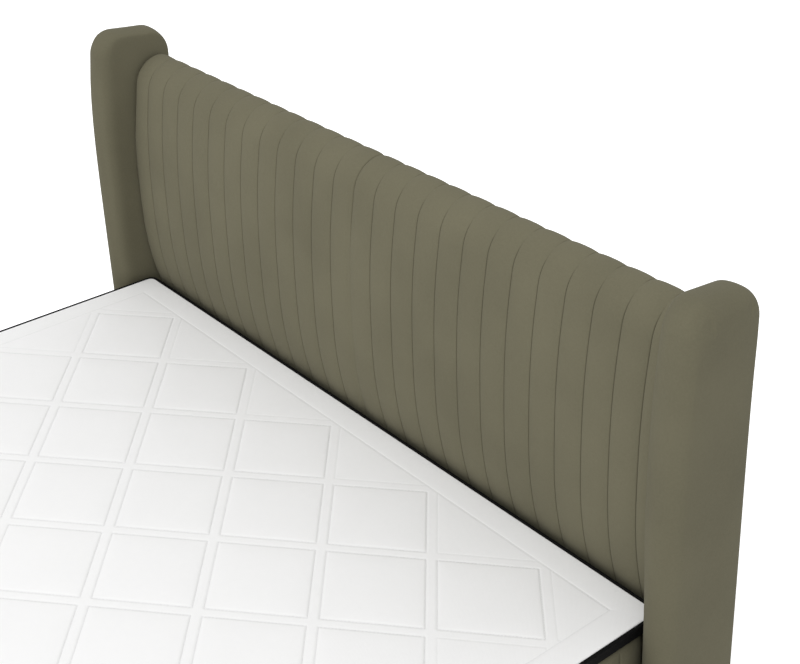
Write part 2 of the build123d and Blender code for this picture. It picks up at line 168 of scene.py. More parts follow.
class Graph:
    """A shader or geometry tree that is being put together."""

    def __init__(self, tree: Tree) -> None:
        """Starts with a tree and whatever nodes it has."""
        self.tree = tree

    def feed(self, socket: Socket, value: object) -> None:
        """Links a value into a socket, or sets it there when it is a constant.

        Args:
            socket: The input to fill.
            value: A Flow, a node's output or a plain value.
        """
        if isinstance(value, Flow):
            value = value.socket
        if isinstance(value, Socket):
            self.tree.links.new(value, socket)
        else:
            socket.default_value = value

    def add(self, kind: str, inputs: dict | None = None, **settings: object) -> Node:
        """Adds one node.

        Args:
            kind: The node's type, as Blender names it.
            inputs: What goes into its sockets, by name or number.
            **settings: The node's own settings.

        Returns:
            The new node.
        """
        node = self.tree.nodes.new(kind)
        for name, value in settings.items():
            setattr(node, name, value)
        for key, value in (inputs or {}).items():
            self.feed(node.inputs[key], value)
        return node

    def out(self, node: Node, key: str | int = 0) -> Flow:
        """One of a node's outputs, ready for arithmetic."""
        return Flow(self, node.outputs[key])

    def math(self, operation: str, *values: object) -> Flow:
        """Adds a Math node.

        Args:
            operation: The node's operation.
            *values: Its one, two or three inputs.

        Returns:
            The node's output.
        """
        node = self.add("ShaderNodeMath", operation=operation)
        for socket, value in zip(node.inputs, values):
            self.feed(socket, value)
        return self.out(node)

    def mix_colours(self, share: object, first: object, second: object) -> Flow:
        """Adds a node that mixes two colours.

        Args:
            share: How much of the second colour there is, from 0 to 1.
            first: The colour at 0.
            second: The colour at 1.

        Returns:
            The mixed colour.
        """
        node = self.add("ShaderNodeMix", data_type="RGBA")
        for key, value in ((0, share), (6, first), (7, second)):
            self.feed(node.inputs[key], value)
        return self.out(node, 2)

    def remap(
        self, value: object, low: float, high: float, start: float = 0.0, end: float = 1.0
    ) -> Flow:
        """Adds a clamped linear map from one range to another.

        Args:
            value: What is mapped.
            low: The value that gives start.
            high: The value that gives end.
            start: The result at low.
            end: The result at high.

        Returns:
            The mapped value.
        """
        inputs = {"Value": value, "From Min": low, "From Max": high, "To Min": start, "To Max": end}
        return self.out(self.add("ShaderNodeMapRange", inputs))

    def noise(self, where: object, scale: object, detail: float = 2.0, rough: float = 0.5) -> Flow:
        """Adds a noise texture.

        Args:
            where: The coordinates it is read at.
            scale: Its features per metre.
            detail: How many finer layers it has.
            rough: How strong the finer layers are.

        Returns:
            The noise, around 0.5.
        """
        inputs = {"Vector": where, "Scale": scale, "Detail": detail, "Roughness": rough}
        return self.out(self.add("ShaderNodeTexNoise", inputs), 0)


class SocketKind(Enum):
    """The kinds of socket that groups and geometry trees take."""

    GEOMETRY = "NodeSocketGeometry"
    FLOAT = "NodeSocketFloat"
    VECTOR = "NodeSocketVector"
    MATERIAL = "NodeSocketMaterial"


def new_tree(
    name: str, kind: str, inputs: dict[str, SocketKind], outputs: dict[str, SocketKind]
) -> tuple[Graph, Sockets, Sockets]:
    """Makes a node group or geometry tree with named sockets.

    Args:
        name: The tree's name.
        kind: ShaderNodeTree or GeometryNodeTree.
        inputs: Its input sockets.
        outputs: Its output sockets.

    Returns:
        The graph, what it is given and what it has to make.
    """
    tree = bpy.data.node_groups.new(name, kind)
    for in_out, sockets in (("INPUT", inputs), ("OUTPUT", outputs)):
        for label, socket_kind in sockets.items():
            tree.interface.new_socket(label, in_out=in_out, socket_type=socket_kind.value)
    graph = Graph(tree)
    return graph, graph.add("NodeGroupInput").outputs, graph.add("NodeGroupOutput").inputs


def geometry_tree(name: str, *sizes: str) -> tuple[Graph, Sockets, Sockets]:
    """Makes a geometry tree that takes a mesh, some sizes and a material.

    Args:
        name: The tree's name.
        *sizes: The names of its number inputs.

    Returns:
        The graph, what it is given and what it has to make.
    """
    inputs = {"Geometry": SocketKind.GEOMETRY, **{size: SocketKind.FLOAT for size in sizes}}
    inputs["Material"] = SocketKind.MATERIAL
    return new_tree(name, "GeometryNodeTree", inputs, {"Geometry": SocketKind.GEOMETRY})


# Shared surface effects


@cache
def tone_drift() -> Tree:
    """Slow and fine changes of tone, as in any dyed cloth.

    Returns:
        A group that turns a position into a value from 0 to 1.
    """
    graph, given, made = new_tree(
        "tone_drift",
        "ShaderNodeTree",
        {"Position": SocketKind.VECTOR, "Slow": SocketKind.FLOAT, "Fine": SocketKind.FLOAT},
        {"Tone": SocketKind.FLOAT},
    )
    position, slow, fine = (given[key] for key in ("Position", "Slow", "Fine"))
    broad_share, darkest, lightest = 0.6, 0.36, 0.64
    tone = graph.noise(position, slow).blend(
        broad_share, graph.noise(position, fine, detail=3.0, rough=0.6)
    )
    graph.feed(made["Tone"], graph.remap(tone, darkest, lightest))
    return graph.tree


@cache
def woven_cloth() -> Tree:
    """Crossing threads, from a surface's own measured coordinates.

    Returns:
        A group that turns coordinates in metres and a thread width into a height.
    """
    graph, given, made = new_tree(
        "woven_cloth",
        "ShaderNodeTree",
        {"Surface": SocketKind.VECTOR, "Thread": SocketKind.FLOAT},
        {"Height": SocketKind.FLOAT},
    )
    parts = graph.add("ShaderNodeSeparateXYZ", {0: given["Surface"]})
    turn = graph.math("DIVIDE", math.pi, given["Thread"])
    across = graph.math("SINE", graph.out(parts, 0) * turn)
    along = graph.math("SINE", graph.out(parts, 1) * turn)
    graph.feed(made["Height"], across * along * 0.5 + 0.5)
    return graph.tree


@cache
def cut_grain() -> Tree:
    """Sawn softwood: rings stretched along the board, with fine pores.

    Returns:
        A group that turns a position into a ring value and a pore value.
    """
    graph, given, made = new_tree(
        "cut_grain",
        "ShaderNodeTree",
        {"Position": SocketKind.VECTOR, "Stretch": SocketKind.VECTOR},
        {"Rings": SocketKind.FLOAT, "Pores": SocketKind.FLOAT},
    )
    bend_scale, ring_count, pore_scale = 3.0, 38.0, 60.0
    long_way = graph.add(
        "ShaderNodeVectorMath",
        {0: given["Position"], 1: given["Stretch"]},
        operation="MULTIPLY",
    )
    bent = graph.noise(long_way.outputs[0], bend_scale)
    rings = graph.math("SINE", bent * ring_count) * 0.5 + 0.5
    pores = graph.noise(long_way.outputs[0], pore_scale, detail=3.0, rough=0.7)
    graph.feed(made["Rings"], rings)
    graph.feed(made["Pores"], pores)
    return graph.tree


# Finishes


class Coat(Graph):
    """A material that is being made, with the effects that finishes share."""

    def __init__(self, name: str, colour: Colour, rough: float) -> None:
        """Starts with a plain surface.

        Args:
            name: The material's name.
            colour: Its plain colour.
            rough: Its roughness.
        """
        self.material = bpy.data.materials.new(name)
        self.material.use_nodes = True
        super().__init__(self.material.node_tree)
        self.colour = colour
        self.wear({"Base Color": self.tint(1.0), "Roughness": rough})

    @cached_property
    def coordinates(self) -> Node:
        """The material's texture coordinates."""
        return self.add("ShaderNodeTexCoord")

    @property
    def place(self) -> Socket:
        """Where each point of the surface lies in the bed."""
        return self.coordinates.outputs["Object"]

    def wear(self, values: dict[str, object]) -> None:
        """Fills inputs of the material's shader.

        Args:
            values: What goes into each input, by its name.
        """
        shader = self.tree.nodes["Principled BSDF"]
        for name, value in values.items():
            self.feed(shader.inputs[name], value)

    def tint(self, factor: float) -> tuple[float, float, float, float]:
        """The plain colour, made lighter or darker by a factor."""
        return tuple(min(1.0, value * factor) for value in self.colour) + (1.0,)

    def tones(self, share: Flow, first: float, second: float) -> Flow:
        """A mix of two tints of the plain colour."""
        return self.mix_colours(share, self.tint(first), self.tint(second))

    def drift(self, slow: float, fine: float) -> Flow:
        """Slow and fine changes of tone, with their features per metre."""
        inputs = {"Position": self.place, "Slow": slow, "Fine": fine}
        return self.out(self.add("ShaderNodeGroup", inputs, node_tree=tone_drift()))

    def weave(self, where: Socket, thread: float) -> Flow:
        """The height of crossing threads of one width."""
        inputs = {"Surface": where, "Thread": thread}
        return self.out(self.add("ShaderNodeGroup", inputs, node_tree=woven_cloth()))

    def cells(self, per_metre: float) -> Flow:
        """How far each point is from the middle of its cell."""
        inputs = {"Vector": self.place, "Scale": per_metre}
        return self.out(self.add("ShaderNodeTexVoronoi", inputs))

    def seam(self, colour: Flow, shade: float, factor: float) -> Flow:
        """Paints shade into a colour along the creases of sewn seams.

        Args:
            colour: The colour away from seams.
            shade: How strong the painted shade is.
            factor: The tint of the painted shade in a seam's crease.

        Returns:
            The colour with painted shade along its seams.
        """
        # The stored seam value marks the creases that get painted shade.
        seam = self.out(self.add("ShaderNodeAttribute", attribute_name="seam"), "Fac")
        return self.mix_colours(seam * shade, colour, self.tint(factor))

    def relief(self, height: Flow, depth: float) -> None:
        """Raises the surface with a bump of a real depth."""
        bump = self.add("ShaderNodeBump", {"Height": height, "Strength": 1.0, "Distance": depth})
        self.wear({"Normal": bump.outputs[0]})


@dataclass(frozen=True)
class Finish:
    """What a surface is made of, and the slot that it belongs to."""

    name: str
    slot: str
    colour: Colour
    rough: float

    def dress(self, coat: Coat) -> None:
        """Gives a plain material the finish's own looks."""
        raise NotImplementedError


@cache
def material_of(finish: Finish) -> bpy.types.Material:
    """The one material of a finish, made the first time it is asked for.

    Args:
        finish: What the surface is made of.

    Returns:
        The material.
    """
    coat = Coat(finish.name, finish.colour, finish.rough)
    finish.dress(coat)
    return coat.material


@dataclass(frozen=True)
class Velvet(Finish):
    """Short-piled upholstery velvet, whose pile lies a little unevenly."""

    patches: Span = (5.0, 260.0)
    tints: Span = (0.9, 1.04)
    pile: float = 0.35 * MM
    pile_scale: float = 900.0
    pile_rough: float = 0.6
    sheen: float = 0.03
    sheen_rough: float = 0.55
    specular: float = 0.08
    # Painted shade along the seams' creases: its strength and the tint it darkens to.
    seam_shade: float = 0.6
    seam_tint: float = 0.15

    def dress(self, coat: Coat) -> None:
        """Mixes two tones of the cloth, paints shade into its seams and raises its pile."""
        colour = coat.tones(coat.drift(*self.patches), *self.tints)
        looks = {
            "Base Color": coat.seam(colour, self.seam_shade, self.seam_tint),
            "Sheen Weight": self.sheen,
            "Sheen Roughness": self.sheen_rough,
            "Specular IOR Level": self.specular,
        }
        coat.wear(looks)
        coat.relief(coat.noise(coat.place, self.pile_scale, rough=self.pile_rough), self.pile)


@dataclass(frozen=True)
class Knit(Finish):
    """Smooth stretch knit, with rows of loops too fine to see from a step away."""

    patches: Span = (6.0, 90.0)
    tints: Span = (0.975, 1.0)
    loop: float = 1.6 * MM
    loop_share: float = 0.4
    depth: float = 0.12 * MM
    sheen: float = 0.05
    specular: float = 0.25
    # Painted shade along the quilting creases: its strength and the tint it darkens to.
    seam_shade: float = 0.25
    seam_tint: float = 0.3

    def dress(self, coat: Coat) -> None:
        """Raises the loops, paints a faint shade between them and paints shade into the seams."""
        loops = coat.weave(coat.place, self.loop)
        tone = loops.blend(self.loop_share, coat.drift(*self.patches))
        looks = {
            "Base Color": coat.seam(
                coat.tones(tone, *self.tints), self.seam_shade, self.seam_tint
            ),
            "Specular IOR Level": self.specular,
            "Sheen Weight": self.sheen,
        }
        coat.wear(looks)
        coat.relief(loops, self.depth)


@dataclass(frozen=True)
class SpacerMesh(Finish):
    """Open knitted mesh that lets air into a topper, with small round cells."""

    tints: Span = (0.35, 1.15)
    cell: float = 3.2 * MM
    walls: Span = (0.1, 0.55)
    depth: float = 0.8 * MM
    specular: float = 0.1

    def dress(self, coat: Coat) -> None:
        """Sinks the cells and paints shade into them."""
        height = coat.remap(coat.cells(1 / self.cell), *self.walls)
        colour = coat.tones(height, *self.tints)
        coat.wear({"Base Color": colour, "Specular IOR Level": self.specular})
        coat.relief(height, self.depth)


@dataclass(frozen=True)
class PlainWeave(Finish):
    """Plain cloth of crossing threads, such as ticking or a dust cloth."""

    patches: Span = (7.0, 180.0)
    tints: Span = (0.82, 1.04)
    thread: float = 1.1 * MM
    thread_share: float = 0.5
    depth: float = 0.25 * MM

    def dress(self, coat: Coat) -> None:
        """Weaves the threads, paints shade where they dip and lets their tone drift."""
        threads = coat.weave(coat.coordinates.outputs["UV"], self.thread)
        tone = threads.blend(self.thread_share, coat.drift(*self.patches))
        coat.wear({"Base Color": coat.tones(tone, *self.tints)})
        coat.relief(threads, self.depth)


@dataclass(frozen=True)
class Foam(Finish):
    """Cut polyurethane foam with open cells."""

    patches: Span = (4.0, 60.0)
    tints: Span = (0.86, 1.03)
    cell: float = 1.8 * MM
    walls: Span = (0.0, 0.6)
    cell_share: float = 0.5
    depth: float = 0.5 * MM

    def dress(self, coat: Coat) -> None:
        """Pits the surface with cells of uneven size, paints shade into the pits and lets the tone
        drift.
        """
        pits = coat.remap(coat.cells(1 / self.cell), *self.walls)
        tone = pits.blend(self.cell_share, coat.drift(*self.patches))
        coat.wear({"Base Color": coat.tones(tone, *self.tints)})
        coat.relief(pits, self.depth)


@dataclass(frozen=True)
class Timber(Finish):
    """Sawn and planed softwood, its grain along the longer rails."""

    stretch: tuple[float, float, float] = (1.0, 1.0, 1.0)
    tints: Span = (1.05, 0.78)
    flecks: tuple[float, float, float, float] = (0.56, 0.7, 0.0, 0.45)
    fleck_tint: float = 0.55
    roughness: Span = (0.55, 0.7)
    ring_share: float = 0.6
    depth: float = 0.25 * MM

    def dress(self, coat: Coat) -> None:
        """Draws rings and pores, and roughens the darker grain."""
        inputs = {"Position": coat.place, "Stretch": self.stretch}
        grain = coat.add("ShaderNodeGroup", inputs, node_tree=cut_grain())
        rings, pores = coat.out(grain, "Rings"), coat.out(grain, "Pores")
        fleck = coat.remap(pores, *self.flecks)
        colour = coat.mix_colours(fleck, coat.tones(rings, *self.tints), coat.tint(self.fleck_tint))
        rough = coat.remap(rings, 0.0, 1.0, *self.roughness)
        coat.wear({"Base Color": colour, "Roughness": rough})
        coat.relief(rings.blend(self.ring_share, pores), self.depth)


@dataclass(frozen=True)
class Fibreboard(Finish):
    """Pressed fibreboard with short light and dark fibres."""

    patches: Span = (3.0, 120.0)
    tints: Span = (0.75, 1.12)
    fibre_scale: float = 420.0
    fibre_share: float = 0.6
    tone_range: Span = (0.3, 0.75)
    depth: float = 0.2 * MM

    def dress(self, coat: Coat) -> None:
        """Scatters fibres over the board."""
        fibres = coat.noise(coat.place, self.fibre_scale, detail=4.0, rough=0.75)
        tone = fibres.blend(self.fibre_share, coat.drift(*self.patches))
        tone = coat.remap(tone, *self.tone_range)
        coat.wear({"Base Color": coat.tones(tone, *self.tints)})
        coat.relief(fibres, self.depth)


@dataclass(frozen=True)
class MouldedPlastic(Finish):
    """Spark-eroded black plastic."""

    tints: Span = (0.8, 1.3)
    pit_scale: float = 1400.0
    scuff_scale: float = 35.0
    scuffs: tuple[float, float, float, float] = (0.35, 0.65, 0.42, 0.6)
    depth: float = 0.08 * MM

    def dress(self, coat: Coat) -> None:
        """Gives the plastic its fine moulded texture."""
        scuff = coat.noise(coat.place, self.scuff_scale, detail=3.0, rough=0.6)
        rough = coat.remap(scuff, *self.scuffs)
        coat.wear({"Roughness": rough, "Base Color": coat.tones(scuff, *self.tints)})
        coat.relief(coat.noise(coat.place, self.pit_scale, rough=0.6), self.depth)


@dataclass(frozen=True)
class ZincSteel(Finish):
    """Bright zinc plate over pressed or turned steel."""

    tints: Span = (0.8, 1.1)
    spangle_scale: float = 140.0
    spangle_share: float = 0.4
    cloud_scale: float = 40.0
    clouds: tuple[float, float, float, float] = (0.35, 0.65, 0.28, 0.46)

    def dress(self, coat: Coat) -> None:
        """Clouds the plating and spreads its spangle."""
        cloud = coat.noise(coat.place, self.cloud_scale, detail=3.0, rough=0.6)
        tone = coat.cells(self.spangle_scale).blend(self.spangle_share, cloud)
        rough = coat.remap(cloud, *self.clouds)
        looks = {"Base Color": coat.tones(tone, *self.tints), "Roughness": rough}
        coat.wear({**looks, "Metallic": 1.0})


SOFTWOOD: Colour = (0.48, 0.30, 0.13)

OLIVE = Velvet("olive_velvet_cloth", "olive_velvet", (0.156, 0.145, 0.096), 0.9)
# A darker copy of the olive velvet for the wings: painted shade that makes the wing fronts darker
# than the cushions.
OLIVE_PAINTED_SHADE = Velvet("olive_velvet_posts", "olive_velvet", (0.143, 0.133, 0.088), 0.9)
WHITE = Knit("white_knit_cloth", "white_quilt", (0.90, 0.90, 0.90), 0.8)
BLACK_MESH = SpacerMesh("black_spacer_mesh", "black_band", (0.005, 0.005, 0.005), 0.9)
TICKING = PlainWeave("ticking_cloth", "ticking", (0.62, 0.60, 0.55), 0.85)
GRIP = PlainWeave("grip_cloth_grey", "grip_cloth", (0.028, 0.028, 0.03), 0.9, thread=2.6 * MM)
DUST = PlainWeave("dust_cloth_black", "dust_cloth", (0.008, 0.008, 0.009), 0.9, thread=1.5 * MM)
POCKET = PlainWeave("pocket_cloth", "spring_pockets", (0.70, 0.70, 0.72), 0.9, thread=1.8 * MM)
FOAM = Foam("cut_foam", "foam", (0.72, 0.66, 0.46), 0.95)
TIMBER_ALONG = Timber("softwood_along", "timber", SOFTWOOD, 0.6, (2.0, 0.12, 2.0))
TIMBER_ACROSS = Timber("softwood_across", "timber", SOFTWOOD, 0.6, (0.12, 2.0, 2.0))
TIMBER_UPRIGHT = Timber("softwood_upright", "timber", SOFTWOOD, 0.6, (2.0, 2.0, 0.12))
BOARD = Fibreboard("pressed_fibreboard", "fibreboard", (0.19, 0.10, 0.045), 0.85)
PLASTIC = MouldedPlastic("black_moulded_plastic", "black_plastic", (0.012, 0.012, 0.013), 0.5)
ZINC = ZincSteel("bright_zinc_steel", "zinc_steel", (0.55, 0.56, 0.58), 0.35)


# Meshes


def grid_faces(
    rows: int, columns: int, closed_rows: bool = False, closed_columns: bool = False
) -> Array:
    """The quads of a grid of points that is stored row by row.

    Args:
        rows: How many rows of points there are.
        columns: How many points a row has.
        closed_rows: Whether the last row meets the first.
        closed_columns: Whether each row's last point meets its first.

    Returns:
        Four corner numbers for each quad.
    """
    i, j = np.meshgrid(
        np.arange(rows if closed_rows else rows - 1),
        np.arange(columns if closed_columns else columns - 1),
        indexing="ij",
    )
    here, beyond = i * columns, (i + 1) % rows * columns
    following = (j + 1) % columns
    corners = (here + j, here + following, beyond + following, beyond + j)
    return np.stack(corners, axis=-1).reshape(-1, 4)


def placed(name: str, data: bpy.types.ID) -> Piece:
    """Puts a new object in the scene.

    Args:
        name: The object's name.
        data: Its mesh, camera or lamp.

    Returns:
        The object, at the origin.
    """
    made = bpy.data.objects.new(name, data)
    bpy.context.scene.collection.objects.link(made)
    return made


def make_piece(name: str, points: Sequence, faces: Sequence = (), edges: Sequence = ()) -> Piece:
    """Makes a smooth mesh piece whose object sits at the origin.

    Args:
        name: The piece's name.
        points: Its corners, one row each.
        faces: The corner numbers of each face.
        edges: Those of each edge, for bare wires that a geometry tree builds on.

    Returns:
        The new object, in the scene.
    """
    mesh = bpy.data.meshes.new(name)
    mesh.from_pydata(*([tuple(row) for row in rows] for rows in (points, edges, faces)))
    mesh.update()
    mesh.shade_smooth()
    return placed(name, mesh)


def tube_piece(name: str, loops: Sequence[Array]) -> Piece:
    """Joins closed loops of corners one after another and closes both ends.

    Args:
        name: The piece's name.
        loops: The loops, all with as many corners.

    Returns:
        The new piece.
    """
    count = len(loops[0])
    last = (len(loops) - 1) * count
    faces = grid_faces(len(loops), count, closed_columns=True).tolist()
    faces.append(list(range(count))[::-1])
    faces.append(list(range(last, last + count)))
    return outward(make_piece(name, np.concatenate(loops), faces))


def spans_of(node: str) -> tuple[Span, Span, Span]:
    """A node's spans along X, Y and Z."""
    low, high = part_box(node)
    return (low.x, high.x), (low.y, high.y), (low.z, high.z)


def set_values(piece: Piece, **layers: Array) -> None:
    """Stores numbers at each corner of a piece.

    Args:
        piece: The piece.
        **layers: One number for each corner, by the attribute's name.
    """
    for name, values in layers.items():
        attribute = piece.data.attributes.new(name, "FLOAT", "POINT")
        attribute.data.foreach_set("value", np.asarray(values, np.float32).ravel())


def set_surface(piece: Piece, across: Array, along: Array) -> None:
    """Gives a piece a UV map in metres.

    Args:
        piece: The piece.
        across: Each corner's first coordinate.
        along: Each corner's second coordinate.
    """
    layer = piece.data.uv_layers.new(name="surface")
    corners = np.zeros(len(piece.data.loops), np.int32)
    piece.data.loops.foreach_get("vertex_index", corners)
    values = np.stack([np.ravel(across)[corners], np.ravel(along)[corners]], axis=-1)
    layer.data.foreach_set("uv", values.astype(np.float32).ravel())


def points_of(piece: Piece) -> Array:
    """The corners of a piece's mesh, one row each."""
    points = np.zeros(len(piece.data.vertices) * 3, np.float32)
    piece.data.vertices.foreach_get("co", points)
    return points.reshape(-1, 3).astype(float)


def set_points(piece: Piece, points: Array) -> None:
    """Moves the corners of a piece's mesh."""
    piece.data.vertices.foreach_set("co", points.astype(np.float32).ravel())
    piece.data.update()


def baked(piece: Piece) -> Piece:
    """Turns a piece's modifiers into plain mesh.

    Args:
        piece: A piece with one or more modifiers.

    Returns:
        The same piece, with none.
    """
    depsgraph = bpy.context.evaluated_depsgraph_get()
    mesh = bpy.data.meshes.new_from_object(
        piece.evaluated_get(depsgraph), preserve_all_data_layers=True, depsgraph=depsgraph
    )
    piece.modifiers.clear()
    old, piece.data = piece.data, mesh
    bpy.data.meshes.remove(old)
    mesh.name = piece.name
    return piece


def outward(piece: Piece) -> Piece:
    """Turns a closed piece's faces so that they point out of it."""
    points = points_of(piece)
    mesh = piece.data
    mesh.calc_loop_triangles()
    corners = np.zeros(len(mesh.loop_triangles) * 3, np.int32)
    mesh.loop_triangles.foreach_get("vertices", corners)
    a, b, c = (points[corners.reshape(-1, 3)[:, k]] for k in range(3))
    if (a * np.cross(b, c)).sum() < 0:
        mesh.flip_normals()
    return piece


def subdivided(piece: Piece) -> Piece:
    """Rounds a piece with one level of subdivision surface."""
    modifier = piece.modifiers.new("round", "SUBSURF")
    modifier.levels = modifier.render_levels = 1
    return baked(piece)


def settle(
    piece: Piece,
    body: Body,
    finish: Finish,
    replaced: Sequence[str] = (),
) -> Piece:
    """Gives a finished piece its material, its body and what it stands for.

    Args:
        piece: The finished mesh piece.
        body: What it moves with.
        finish: What it is made of.
        replaced: The nodes that it stands for.

    Returns:
        The piece.
    """
    if not piece.data.materials:
        piece.data.materials.append(material_of(finish))
    if replaced:
        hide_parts(*replaced)
    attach(piece, body.value)
    LOG.info("%s: %d faces on %s", piece.name, len(piece.data.polygons), body.value)
    return piece


def running_length(points: Array) -> Array:
    """How far along its path each point of a row lies."""
    steps = np.linalg.norm(np.diff(points, axis=0), axis=1)
    return np.concatenate([[0.0], np.cumsum(steps)])


def quarter_turn(steps: int) -> Array:
    """Angles from 0 to a right angle, in equal steps."""
    return np.linspace(0.0, math.pi / 2, steps + 1)


def arc(centre: Sequence[float], radius: float, turns: Array) -> Array:
    """Points of a circle at given angles, one row each."""
    return np.array(centre) + radius * np.stack([np.cos(turns), np.sin(turns)], axis=-1)


def fade(value: Array, start: float, end: float) -> Array:
    """A smooth step from 0 to 1.

    Args:
        value: Where it is taken.
        start: The value that gives 0.
        end: The value that gives 1.

    Returns:
        The step at each value.
    """
    share = np.clip((value - start) / (end - start), 0.0, 1.0)
    return share * share * (3.0 - 2.0 * share)


def smoothed_path(points: Array, spacing: float, reach: float) -> Array:
    """Resamples an open path evenly and rounds its kinks.

    Args:
        points: The path's points, one row each.
        spacing: The distance between the new points.
        reach: How far a kink is spread.

    Returns:
        The new points, with the same ends.
    """
    length = running_length(points)
    places = np.linspace(0.0, length[-1], round(length[-1] / spacing) + 1)
    even = np.stack([np.interp(places, length, row) for row in points.T], axis=-1)
    half = round(reach / spacing)
    padded = np.pad(even, ((half, half), (0, 0)), mode="reflect", reflect_type="odd")
    kernel = np.hanning(2 * half + 3)[1:-1]
    kernel /= kernel.sum()
    smooth = np.stack([np.convolve(row, kernel, "valid") for row in padded.T], axis=-1)
    smooth[0], smooth[-1] = even[0], even[-1]
    return smooth


def path_normals(path: Array) -> Array:
    """Unit normals to the left of an open path's direction."""
    tangent = np.gradient(path, axis=0)
    tangent /= np.maximum(np.linalg.norm(tangent, axis=1, keepdims=True), TINY)
    return np.stack([-tangent[:, 1], tangent[:, 0]], axis=-1)


@dataclass(frozen=True)
class Rectangle:
    """A level rectangle with rounded corners."""

    x: Span
    y: Span
    corner: float

    @property
    def middle(self) -> Array:
        """The rectangle's middle."""
        return np.array([sum(self.x) / 2, sum(self.y) / 2])

    @property
    def half(self) -> Array:
        """Half its width and half its length."""
        return np.array([np.ptp(self.x) / 2, np.ptp(self.y) / 2])

    def drawn_in(self, inset: float, corner: float | None = None) -> "Rectangle":
        """A rectangle inside this one.

        Args:
            inset: How far each edge is drawn in.
            corner: The radius of its corners, or None to keep them parallel.

        Returns:
            The smaller rectangle, or a larger one for a negative inset.
        """
        x, y = ((low + inset, high - inset) for low, high in (self.x, self.y))
        return Rectangle(x, y, self.corner - inset if corner is None else corner)

    def sides(self) -> list[tuple[Array, Array]]:
        """The start and end of each sharp side, in order."""
        (x0, x1), (y0, y1) = self.x, self.y
        ends = np.array([(x1, y0), (x1, y1), (x0, y1), (x0, y0)])
        return list(zip(ends, np.roll(ends, -1, axis=0)))

    def ring(self, rim: Array, source: "Rectangle", height: float) -> Array:
        """Fits another rectangle's sharp rim to this one and rounds its corners.

        Args:
            rim: Points on the other rectangle's rim, one row each.
            source: The other rectangle.
            height: The height of the ring.

        Returns:
            The ring's points.
        """
        local = (rim - source.middle) * (self.half / source.half)
        core = np.clip(local, self.corner - self.half, self.half - self.corner)
        spill = local - core
        far = np.maximum(np.linalg.norm(spill, axis=1), TINY)
        in_corner = (np.abs(spill) > 1e-7).all(axis=1)
        scale = np.where(in_corner, self.corner / far, 1.0)
        flat = self.middle + core + spill * scale[:, None]
        return np.column_stack([flat, np.full(len(flat), height)])

    def loop(self, height: float, spacing: float = 30 * MM, steps: int = 6) -> Array:
        """Points round the rectangle, close together at its corners.

        Args:
            height: The height of the loop.
            spacing: The distance between points along its sides.
            steps: How many steps a corner has.

        Returns:
            The loop's points.
        """
        arcs = [
            arc(centre, self.corner, quarter_turn(steps) + (k - 1) * math.pi / 2)
            for k, (centre, _) in enumerate(self.drawn_in(self.corner).sides())
        ]
        rows = []
        for bend, following in zip(arcs, arcs[1:] + arcs[:1]):
            start, end = bend[-1], following[0]
            count = max(2, int(math.dist(start, end) / spacing))
            share = np.linspace(0.0, 1.0, count + 1)[1:-1, None]
            rows += [bend, start * (1 - share) + end * share]
        flat = np.concatenate(rows)
        return np.column_stack([flat, np.full(len(flat), height)])


# Geometry trees


def named_value(graph: Graph, name: str) -> Flow:
    """Reads a number that a mesh stores at each corner."""
    node = graph.add("GeometryNodeInputNamedAttribute", {"Name": name}, data_type="FLOAT")
    return graph.out(node)


def finish_tree(graph: Graph, given: Sockets, made: Sockets, shape: object) -> None:
    """Ends a geometry tree: real meshes, their material, the output.

    Args:
        graph: The tree.
        given: What it is given.
        made: What it has to make.
        shape: The geometry so far.
    """
    whole = graph.add("GeometryNodeRealizeInstances", {"Geometry": shape})
    inputs = {"Geometry": whole.outputs[0], "Material": given["Material"]}
    dressed = graph.add("GeometryNodeSetMaterial", inputs)
    graph.feed(made["Geometry"], dressed.outputs[0])


@cache
def sewn_channels() -> Tree:
    """Channels that swell between a cover's seams and are pulled in at them.

    Returns:
        A tree for a mesh that stores channel, pitch, fullness and crease at its corners.
    """
    graph, given, made = geometry_tree(
        "sewn_channels", "Crown", "Flatness", "Crease Depth", "Crease Width"
    )
    share = graph.math("FRACT", named_value(graph, "channel"))
    edge = graph.math("MINIMUM", share, share.flipped())
    bow = ((edge * 2.0).flipped() ** given["Flatness"]).flipped()
    reach = edge * named_value(graph, "pitch") / given["Crease Width"]
    pull = graph.math("EXPONENT", reach * reach * -1.0)
    swell = bow * named_value(graph, "fullness") * given["Crown"]
    sewn = pull * named_value(graph, "crease")
    push = swell - sewn * given["Crease Depth"]
    inputs = {0: graph.add("GeometryNodeInputNormal").outputs[0], "Scale": push}
    offset = graph.add("ShaderNodeVectorMath", inputs, operation="SCALE")
    moved = graph.add(
        "GeometryNodeSetPosition",
        {"Geometry": given["Geometry"], "Offset": offset.outputs[0]},
    )
    # Stores the crease pull as the mask for painted seam shade.
    marked = graph.add(
        "GeometryNodeStoreNamedAttribute",
        {"Geometry": moved.outputs[0], "Name": "seam", "Value": sewn},
        data_type="FLOAT",
    )
    finish_tree(graph, given, made, marked.outputs[0])
    return graph.tree


